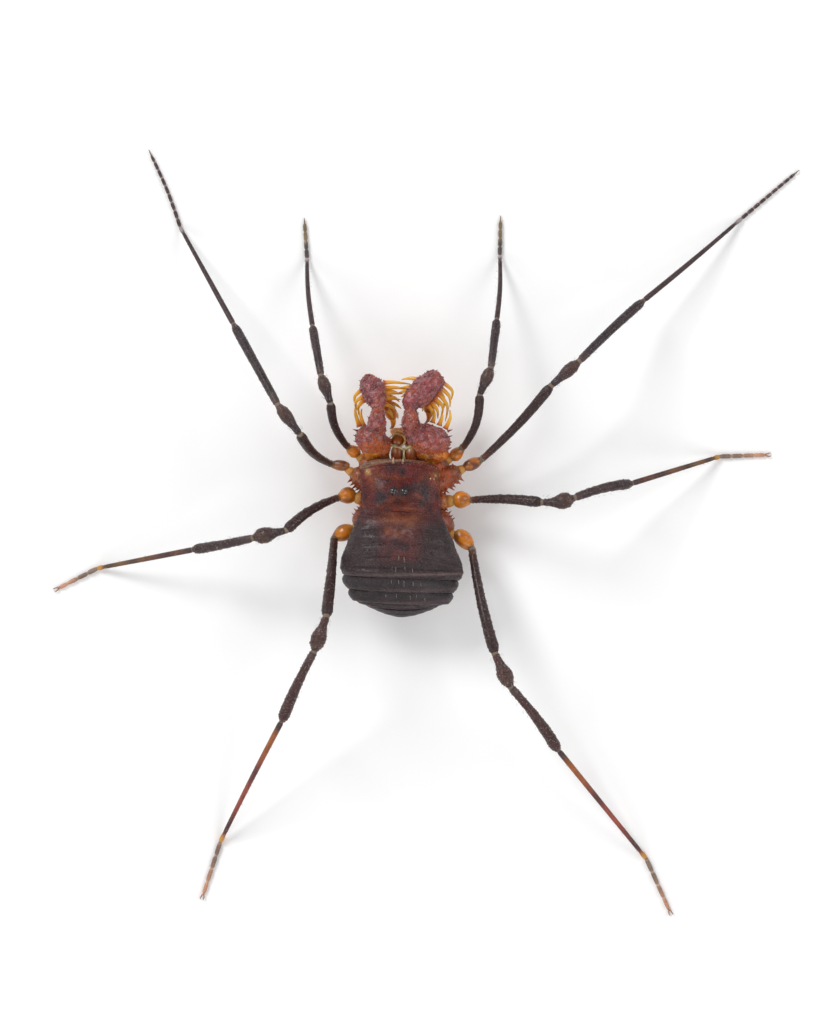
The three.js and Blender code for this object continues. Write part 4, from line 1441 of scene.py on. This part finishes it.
class HARVESTMAN_OT_pedipalps(bpy.types.Operator):
    """Model the raptorial pedipalps with their granules, spines and claws"""

    bl_idname = "harvestman.pedipalps"
    bl_label = "Pedipalps"

    def execute(self, context):
        for palp in PALPS:
            self.femur(palp)
            self.tube_part(palp, "patella", palp.patella, warm=0.5)
            self.tube_part(palp, "tibia", palp.tibia, warm=0.0)
            self.tarsus(palp)
            self.spines(palp)
        return {"FINISHED"}

    def femur(self, palp):
        """The thick thigh with the tubercles of its outer side, and the orange ball at its root, whose
        orange is brightened with a painted glow.
        """
        form = grown_together([lump(*shape, 32) for shape in palp.femur], voxel=0.03, rounds=6)
        roughened(form, strength=0.09, scale=0.24)
        roughened(form, strength=0.04, scale=0.08)
        low = min(middle[1] for middle, _, _ in palp.femur) - 0.1

        def shade_at(place):
            rise = place.y - low + 0.25 * (cloudy(place, 3.0, 9) - 0.5)
            shade = palp_colour(place, 0.1 + 0.45 * (1 - step_at(rise, 0.28, 0.5)))
            # The bright orange at the thigh's rear end is partly its own colour and partly painted light: a
            # glow of light shining through, brightened against the shade there
            return blended(shade, colour("d4641c"), 0.8 * (1 - step_at(rise, 0.1, 0.22)))

        tinted(form, shade_at)
        form = granulated(form, GRANULES["palp_femur"], 40 + palp.side, shade_at, size_of("granule"))
        thorns = Swarm(thorn_template(7))
        middle, radii, _ = palp.femur[0]
        out = Vector((palp.side, 0.35, 0.15)).normalized()
        for i in range(4):
            root = Vector(middle) + Vector((palp.side * radii[0] * 0.88, radii[1] * (0.55 - 0.4 * i), 0.05))
            thorns.add(root, out, 0.05, 0.15 - 0.01 * i, tone("palp"), colour("4a2a2c"))
        form = joined([form, thorns.made()])
        finished(form, palp.name + "_thigh", "palp", "palp", [palp.name + "_femur"])

        def root_orange_and_glow(place):
            # Painted light: the roots' own orange is brightened to a glow of light shining through them,
            # against the shade of the thighs; the darker patches are their own colour
            shade = blended(colour("dc6a1e"), colour("ff9a2c"), step_at(cloudy(place, 2.4, 4), 0.5, 0.35))
            return blended(shade, colour("8a3018"), 0.5 * step_at(cloudy(place, 4.0, 8), 0.66, 0.3))

        ball = grown_together([lump(*shape) for shape in palp.root], voxel=0.03, rounds=5)
        roughened(ball, strength=0.07, scale=0.16)
        tinted(ball, root_orange_and_glow)
        ball = granulated(ball, GRANULES["palp_root"], 45 + palp.side, root_orange_and_glow, size_of("granule"))
        finished(ball, palp.name + "_trochanter", "coxa", "trochanter")

    def tube_part(self, palp, name, stations, warm):
        """The patella or the tibia: a swollen, uneven tube with granules and short thorns."""

        def shade_at(place):
            return palp_colour(place, warm)

        granules = GRANULES["palp_" + name]
        form = grown_together([station_tube(stations, 7, tone("palp"))], voxel=0.028, rounds=3)
        roughened(form, strength=0.08, scale=0.2)
        roughened(form, strength=0.04, scale=0.08)
        tinted(form, shade_at)
        thorns = Swarm(thorn_template(6))
        random.seed(55 + palp.side)
        for root, out in scattered(form, granules // 12, 56 + palp.side, lowest=-0.2):
            tall = random.uniform(0.04, 0.09)
            tip = random.choice((colour("3a1c1e"), colour("c09a94")))
            thorns.add(root, out, 0.03, tall, shade_at(root), tip)
        form = granulated(form, granules, 50 + palp.side, shade_at, size_of("granule"))
        form = joined([form, thorns.made()])
        finished(form, f"{palp.name}_{name}_part", "palp", "palp", [f"{palp.name}_{name}"])

    def tarsus(self, palp):
        """The tarsus, folded back under the tibia, and its claw."""
        warm = blended(tone("trochanter"), tone("coxa"), 0.3)
        form = station_tube(palp.tarsus, 6, warm)
        roughened(form, strength=0.02, scale=0.1)
        form = granulated(form, GRANULES["palp_tarsus"], 60 + palp.side, lambda place: warm, 0.014)
        finished(form, palp.name + "_tarsus_part", "polished", "palp_tarsus", [palp.name + "_tarsus"])
        claw = Strands(5)
        line = curve_points(vectors(*palp.claw), 6)
        amber_shade = fading(tone("amber"), tone("amber_tip"))
        claw.along(line, lambda share: 0.1 * (1 - share) ** 0.8 + 0.008, amber_shade)
        finished(claw.made(), palp.name + "_claw", "amber", "palp_tarsus")

    def spines(self, palp):
        """The long curved spines, all one piece: reddish roots, honey middles painted paler where light
        shines through, dark tips.
        """
        thick = size_of("spine")

        def radius_at(share):
            return thick * (1.25 - 0.35 * step_at(share, 0.1, 0.2)) * (1 - share**1.6) + 0.006

        def shade_at(share):
            shade = blended(tone("amber_root"), tone("amber"), step_at(share, 0.12, 0.2))
            # The paler yellow middle is painted light: it stands in for light shining through the spine,
            # over its own honey colour
            shade = blended(shade, colour("ffcf5c"), 0.6 * ridge_at(share, 0.5, 0.22))
            return blended(shade, tone("amber_tip"), step_at(share, 0.9, 0.16))

        strands = Strands(4)
        for spine in palp.spines:
            strands.along(curve_points(vectors(*spine), 7), radius_at, shade_at)
        finished(strands.made(), palp.name + "_spines", "amber", "palp_tarsus")


def length_line(a, b, steps, bow, arch):
    """Places from a to b, bent to the left by bow and upwards by arch."""
    left = UP.cross((b - a).normalized()).normalized()
    line = []
    for i in range(steps + 1):
        share = i / steps
        belly = math.sin(math.pi * share)
        line.append(a.lerp(b, share) + left * (bow * belly) + UP * (arch * belly))
    return line


def femur_profile(girth):
    """Thickness of a thigh along its length: a thin root, swelling to the knee."""
    root, end = girth.femur_root, girth.femur_end
    return through(
        (0, root * 0.7), (0.04, root), (0.3, (root + end) / 2.1), (0.75, end * 0.95), (0.93, end),
        (0.985, end * 0.72), (1, end * 0.5),
    )


def patella_profile(girth):
    """Thickness of a patella: a neck, then a club."""
    neck, club = girth.femur_root, girth.patella
    return through(
        (0, neck * 0.6), (0.06, neck), (0.25, neck * 1.12), (0.62, club), (0.8, club * 0.92),
        (0.96, neck * 1.05), (1, neck * 0.7),
    )


def tibia_profile(girth):
    """Thickness of a tibia: slim, thicker to its end."""
    root, end = girth.tibia_root, girth.tibia_end
    return through(
        (0, root * 0.6), (0.04, root * 0.95), (0.12, root), (0.3, root * 1.05), (0.8, end),
        (0.93, end * 0.98), (0.985, end * 0.7), (1, end * 0.5),
    )


def metatarsus_profile(girth):
    """Thickness of a metatarsus: even, with a small ring at its end."""
    near, far = girth.foot_near, girth.foot_far
    return through(
        (0, near * 0.7), (0.03, near), (0.3, near * 0.95), (0.9, far), (0.935, far * 0.8),
        (0.955, far * 1.12), (0.985, far * 1.12), (1, far * 0.7),
    )


# Dark bands of the hind metatarsi by leg pair: place along, half width, strength
FOOT_BANDS = {
    3: ((0.04, 0.05, 1.0), (0.3, 0.08, 0.7), (0.62, 0.09, 0.8), (0.86, 0.06, 0.9)),
    4: ((0.03, 0.05, 1.1), (0.43, 0.09, 0.75), (0.86, 0.1, 0.9)),
}


def metatarsus_shade(kind, share):
    """Plain brown on the front legs, banded brown or orange-red on the hind legs, pale at the end."""
    if kind < 3:
        shade = blended(tone("shin"), tone("foot_dark"), 0.5)
        return blended(shade, colour("b5abab"), step_at(share, 0.94, 0.04))
    if kind == 3:
        shade = blended(colour("6b4032"), colour("8a6238"), step_at(share, 0.45, 0.4))
    else:
        shade = blended(colour("a8602c"), tone("foot_red"), step_at(share, 0.3, 0.3))
    for middle, wide, amount in FOOT_BANDS[kind]:
        shade = blended(shade, tone("foot_dark"), amount * ridge_at(share, middle, wide))
    return blended(shade, colour("dda050"), step_at(share, 0.94, 0.04))


def tarsus_shade(kind, share):
    """Paler where two articles meet."""
    part = share * TARSUS_ARTICLES[kind] % 1.0
    pale = max(ridge_at(part, 0, 0.16), ridge_at(part, 1, 0.1))
    if kind == 2:
        return blended(tone("foot_dark"), colour("cbb6ae"), pale)
    if kind == 1:
        shade = blended(colour("5a4f4c"), colour("8f7a58"), step_at(share, 0.42, 0.15))
        return blended(shade, colour("cbbcaa"), pale * 0.6)
    shade = blended(colour("8f7564"), tone("foot_tip"), step_at(share, 0.6, 0.6))
    return blended(shade, colour("e8cdb4"), pale * 0.6)


def tarsus_radius(kind, share):
    """Pinched where two articles meet, and thinner to the tip."""
    part = share * TARSUS_ARTICLES[kind] % 1.0
    pinch = 0.32 * (ridge_at(part, 0, 0.14) + ridge_at(part, 1, 0.08))
    end = 1 - 0.55 * step_at(share, 0.97, 0.08)
    return TARSUS_RADIUS[kind] * (1.04 - 0.2 * share) * (1 - pinch) * end


class HARVESTMAN_OT_legs(bpy.types.Operator):
    """Model the eight legs, from the trochanters to the claws"""

    bl_idname = "harvestman.legs"
    bl_label = "Legs"

    def execute(self, context):
        for leg in LEGS:
            self.trochanter(leg)
            self.upper(leg)
            self.metatarsus(leg)
            self.tarsus(leg)
        return {"FINISHED"}

    def trochanter(self, leg):
        """The smooth ball of the hip: yellow at the body, darker towards the thigh."""
        hip, way = leg.joints[0], leg.ball_way
        long, wide = leg.ball
        steps = 30

        def radius_at(share):
            inner = 0.03 + 0.94 * share
            return wide * math.sin(math.pi * inner**0.85) ** 0.6 * (1.04 - 0.1 * inner)

        def shade_at(place):
            share = 0.5 + (place - hip).dot(way) / (2 * long)
            shade = blended(tone("coxa_pale"), tone("trochanter"), step_at(share, 0.14, 0.25))
            dark = step_at(cloudy(place, 4.0, leg.kind), 0.6, 0.4) * 0.5
            dark += 0.55 if leg.kind == 2 else 0.1
            dark += 0.35 * step_at(share, 0.82, 0.2)
            return blended(shade, tone("femur_root"), dark)

        line = [hip + way * long * (2 * i / steps - 1) * 0.98 for i in range(steps + 1)]
        strands = Strands(9)
        strands.along(line, radius_at, lambda share: tone("trochanter"))
        form = strands.made()
        roughened(form, strength=0.03, scale=0.22)
        tinted(form, shade_at)
        finished(form, leg.name + "_hip_ball", "polished", "trochanter", [leg.name + "_trochanter"])

    def upper(self, leg):
        """The femur, the patella and the tibia, each an uneven strand with granules."""
        _, knee, patella_end, tibia_end = leg.joints[:4]
        girth = LEG_RADII[leg.kind]
        grey_brown = blended(tone("shin"), *SHIN_SHIFTS[leg.kind])

        def femur_shade(share):
            return blended(tone("femur_root"), tone("femur"), step_at(share, 0.1, 0.2))

        def patella_shade(share):
            return blended(grey_brown, colour("563c34"), step_at(share, 0.5, 0.6))

        def tibia_shade(share):
            shade = blended(colour("5a4644"), grey_brown, step_at(share, 0.1, 0.2))
            return blended(shade, colour("6e5650"), step_at(share, 0.96, 0.06))

        femur = length_line(leg.femur_root, knee, steps=40, bow=leg.bows[0], arch=0.12)
        patella = length_line(knee, patella_end, steps=30, bow=leg.bows[1], arch=0.03)
        tibia = length_line(patella_end, tibia_end, steps=36, bow=leg.bows[2], arch=0.04)
        slim = leg.kind < 3
        size = 0.011 if slim else 0.015
        for name, line, profile, shade_at, skin in (
            ("femur", femur, femur_profile, femur_shade, tone("femur")),
            ("patella", patella, patella_profile, patella_shade, grey_brown),
            ("tibia", tibia, tibia_profile, tibia_shade, grey_brown),
        ):
            strands = Strands(5)
            strands.along(line, profile(girth), shade_at)
            form = strands.made()
            roughened(form, strength=0.018 if slim else 0.035, scale=0.09)
            form = granulated(form, LEG_GRANULES[leg.kind], 70 + leg.kind, lambda place: skin, size)
            finished(form, f"{leg.name}_{name}_part", "leg", name, [f"{leg.name}_{name}"])

    def metatarsus(self, leg):
        """The first length of the foot, banded on the hind legs."""
        strands = Strands(4)
        line = length_line(leg.joints[3], leg.joints[4], steps=70, bow=leg.bows[3], arch=0.03)
        profile = metatarsus_profile(LEG_RADII[leg.kind])
        strands.along(line, profile, lambda share: metatarsus_shade(leg.kind, share))
        slot = "foot_banded" if leg.kind > 2 else "foot"
        finished(strands.made(), leg.name + "_metatarsus_part", "leg", slot, [leg.name + "_foot"])

    def tarsus(self, leg):
        """The last length, of several articles, lying on the floor, with one claw or two."""
        ankle, tip = leg.joints[4:6]
        banded = leg.kind > 2
        steps = TARSUS_ARTICLES[leg.kind] * 14
        line = length_line(ankle, tip, steps, bow=leg.bows[4], arch=0.0)
        for i, place in enumerate(line):
            place.z = tarsus_radius(leg.kind, i / steps) * 1.02
        strands = Strands(4)
        strands.along(
            line,
            lambda share: tarsus_radius(leg.kind, share),
            lambda share: tarsus_shade(leg.kind, share),
        )
        way = (tip - ankle).normalized()
        left = UP.cross(way)
        horn = tone("foot_tip") if banded else colour("9a8a70")
        for side in (-1, 1) if banded else (0,):
            hook = [
                tip + left * side * 0.02,
                tip + way * 0.07 + left * side * 0.045 + UP * 0.03,
                tip + way * 0.13 + left * side * 0.05 + UP * 0.01,
                tip + way * 0.16 + left * side * 0.04 - UP * 0.025,
            ]
            claw_shade = fading(horn, tone("amber_tip"))
            strands.along(curve_points(hook, 4), lambda share: 0.022 * (1 - share) + 0.004, claw_shade)
        slot = "foot_banded" if banded else "foot"
        finished(strands.made(), leg.name + "_tarsus_part", "leg", slot)


SKIN_REACH = 0.07  # of a joint's skin to each side of the joint


class HARVESTMAN_OT_membranes(bpy.types.Operator):
    """Model the soft skin in the joints of the legs and pedipalps"""

    bl_idname = "harvestman.membranes"
    bl_label = "Joint membranes"

    def execute(self, context):
        strands = Strands(4)
        pale = colour("857868")
        for leg in LEGS:
            girth = LEG_RADII[leg.kind]
            knee = leg.joints[1]
            thigh = knee - leg.femur_root
            neck = leg.femur_root + thigh.normalized() * SKIN_REACH
            joints = [
                (leg.femur_root, thigh, girth.femur_root * 0.85),
                (knee, thigh, girth.femur_end * 0.62),
                (neck, thigh, girth.femur_root * 1.06),
            ]
            lower = (girth.tibia_root * 0.8, girth.foot_near * 0.9, girth.foot_far * 0.75)
            for i, radius in enumerate(lower, 2):
                joints.append((leg.joints[i], leg.joints[i + 1] - leg.joints[i], radius))
            for joint, way, radius in joints:
                reach = way.normalized() * SKIN_REACH
                sleeve = [joint + reach * share for share in (-1, -0.4, 0.4, 1)]
                strands.add(sleeve, [radius * 0.7, radius, radius, radius * 0.7], [pale] * 4)
        finished(strands.made(), "leg_joint_skin", "membrane", "trochanter")
        return {"FINISHED"}


# Rows of hairs on the plates: along, reach to each side, height, how many
PLATE_HAIRS = [(-1.05, 0.7, 2.76, 6), (-1.45, 0.9, 2.5, 8), (-1.85, 0.9, 2.2, 6), (-0.76, 0.6, 2.82, 4)]


class HARVESTMAN_OT_hairs(bpy.types.Operator):
    """Set fine hairs on the legs and along the rear edges of the plates"""

    bl_idname = "harvestman.hairs"
    bl_label = "Hairs"

    def execute(self, context):
        random.seed(91)
        self.leg_hairs(size_of("hair"), context.scene.harvestman_sizes.leg_hairs)
        self.plate_hairs(size_of("hair"))
        return {"FINISHED"}

    def leg_hairs(self, length, count):
        """Hairs that lean along the legs, except where they would reach the floor."""
        dark = Swarm(hair_template())
        for leg in LEGS:
            girth = LEG_RADII[leg.kind]
            tarsus = TARSUS_RADIUS[leg.kind]
            radii = (girth.patella * 0.8, girth.tibia_end * 0.95, girth.foot_far, tarsus * 0.8)
            for i, radius in enumerate(radii, 1):
                start, end = leg.joints[i], leg.joints[i + 1]
                way = (end - start).normalized()
                side = UP.cross(way).normalized()
                top = way.cross(side)
                for _ in range(count):
                    angle = random.uniform(0, math.tau)
                    out = side * math.cos(angle) + top * math.sin(angle)
                    root = start.lerp(end, random.uniform(0.05, 0.95)) + out * radius * 0.9
                    tall = length * random.uniform(0.5, 1.1) * (0.8 if i > 2 else 1.0)
                    if root.z + out.z * tall < 0.01:
                        continue
                    lean = way * tall * 0.25
                    out = (out + way * 0.9).normalized()
                    dark.add(root, out, 0.0045, tall, tone("shin"), colour("8a7464"), lean)
        finished(dark.made(), "leg_hairs", "hair", "tibia")

    def plate_hairs(self, length):
        """Rows of hairs that lean back from the plates."""
        pale = Swarm(hair_template())
        for along, reach, high, count in PLATE_HAIRS:
            for i in range(count):
                across = -reach + 2 * reach * (i + random.uniform(0.2, 0.8)) / count
                drop = 0.42 * (across / reach) ** 2 * (high - margin_height(along))
                root = body_place(across, along + random.uniform(-0.04, 0.04), high - drop)
                out = (UP * 0.55 - ALONG * 0.8 + ACROSS * 0.2 * across).normalized()
                tall = length * random.uniform(1.2, 1.9)
                pale.add(root - out * 0.03, out, 0.0065, tall, tone("hair"), tone("hair"), -ALONG * 0.03)
        finished(pale.made(), "plate_hairs", "hair", "abdomen")


# Lamps: name, place in metres, power in watts, width in metres
LAMPS = [
    ("above_left", (-0.18, 0.2, 0.22), 0.66, 0.12),
    ("above_right", (0.24, 0.1, 0.2), 0.34, 0.2),
    ("below_left", (-0.22, -0.16, 0.2), 0.3, 0.2),
    ("below_right", (0.12, -0.24, 0.22), 0.3, 0.2),
]
PIXEL = 5 / 168.3  # millimetres that a pixel of the photograph shows
VIEW_MIDDLE = (-0.416, 0.594)  # the place under the camera
VIEW_HEIGHT = 1024 * PIXEL  # what the picture's height shows
VIEW_LEVEL = 1.0  # the height over the floor at which that is exact
LENS = 400.0
SENSOR = 36.0


class HARVESTMAN_OT_stage(bpy.types.Operator):
    """Lay the pale floor, hang the soft lights and set the camera straight above"""

    bl_idname = "harvestman.stage"
    bl_label = "Stage"

    def execute(self, context):
        floor = added(bpy.ops.mesh.primitive_circle_add, vertices=96, radius=0.6, fill_type="NGON")
        floor.name = "floor"
        edited(floor, (bpy.ops.mesh.inset, {"thickness": 0.3}))
        shader = Shader("pale_floor")
        paper = shader.noise(0.4, 2.0)
        pale = shader.mixed(paper.clamped(), grey(0.95), grey(0.98))
        floor.data.materials.append(shader.surfaced(Base_Color=pale, Roughness=0.9))
        for name, place, power, size in LAMPS:
            aim = (-Vector(place)).to_track_quat("-Z", "Y").to_euler()
            bpy.ops.object.light_add(type="AREA", location=place, rotation=aim)
            lamp = context.object
            lamp.name = name
            lamp.data.energy = power
            lamp.data.size = size
        world = bpy.data.worlds.new("soft_room")
        world.use_nodes = True
        sky = world.node_tree.nodes["Background"].inputs
        sky["Color"].default_value = grey(1)
        sky["Strength"].default_value = 0.3
        context.scene.world = world
        context.scene.view_settings.view_transform = "Standard"
        distance = LENS * VIEW_HEIGHT / SENSOR
        above = Vector((*VIEW_MIDDLE, VIEW_LEVEL + distance)) * MM
        bpy.ops.object.camera_add(location=above, rotation=(0, 0, 0))
        view = context.object
        view.name = "view"
        view.data.lens = LENS
        view.data.sensor_width = SENSOR
        view.data.clip_start = 0.01
        view.data.clip_end = 10
        context.scene.camera = view
        return {"FINISHED"}


STEPS = [
    HARVESTMAN_OT_stage,
    HARVESTMAN_OT_belly,
    HARVESTMAN_OT_head_shield,
    HARVESTMAN_OT_eyes,
    HARVESTMAN_OT_abdomen,
    HARVESTMAN_OT_coxae,
    HARVESTMAN_OT_chelicerae,
    HARVESTMAN_OT_pedipalps,
    HARVESTMAN_OT_legs,
    HARVESTMAN_OT_membranes,
    HARVESTMAN_OT_hairs,
]


class HARVESTMAN_PT_panel(bpy.types.Panel):
    """Lists the harvestman's pieces in the order they are made"""

    bl_idname = "HARVESTMAN_PT_panel"
    bl_label = "Harvestman"
    bl_space_type = "VIEW_3D"
    bl_region_type = "UI"
    bl_category = "Harvestman"

    def draw(self, context):
        column = self.layout.column(align=True)
        for step in STEPS:
            column.operator(step.bl_idname)
        for key in HarvestmanSizes.__annotations__:
            column.prop(context.scene.harvestman_sizes, key)
        for key in HarvestmanColours.__annotations__:
            column.prop(context.scene.harvestman_colours, key)


CLASSES = [HarvestmanColours, HarvestmanSizes, *STEPS, HARVESTMAN_PT_panel]


def register():
    """Makes the classes and the panel's settings known."""
    for kind in CLASSES:
        bpy.utils.register_class(kind)
    bpy.types.Scene.harvestman_colours = PointerProperty(type=HarvestmanColours)
    bpy.types.Scene.harvestman_sizes = PointerProperty(type=HarvestmanSizes)


def unregister():
    """Takes back what register did."""
    del bpy.types.Scene.harvestman_sizes
    del bpy.types.Scene.harvestman_colours
    for kind in reversed(CLASSES):
        bpy.utils.unregister_class(kind)


def main():
    """Makes every piece in order."""
    register()
    for step in STEPS:
        group, name = step.bl_idname.split(".")
        if getattr(getattr(bpy.ops, group), name)() != {"FINISHED"}:
            raise RuntimeError(f"{step.bl_label} could not be made")


if __name__ == "__main__":
    main()
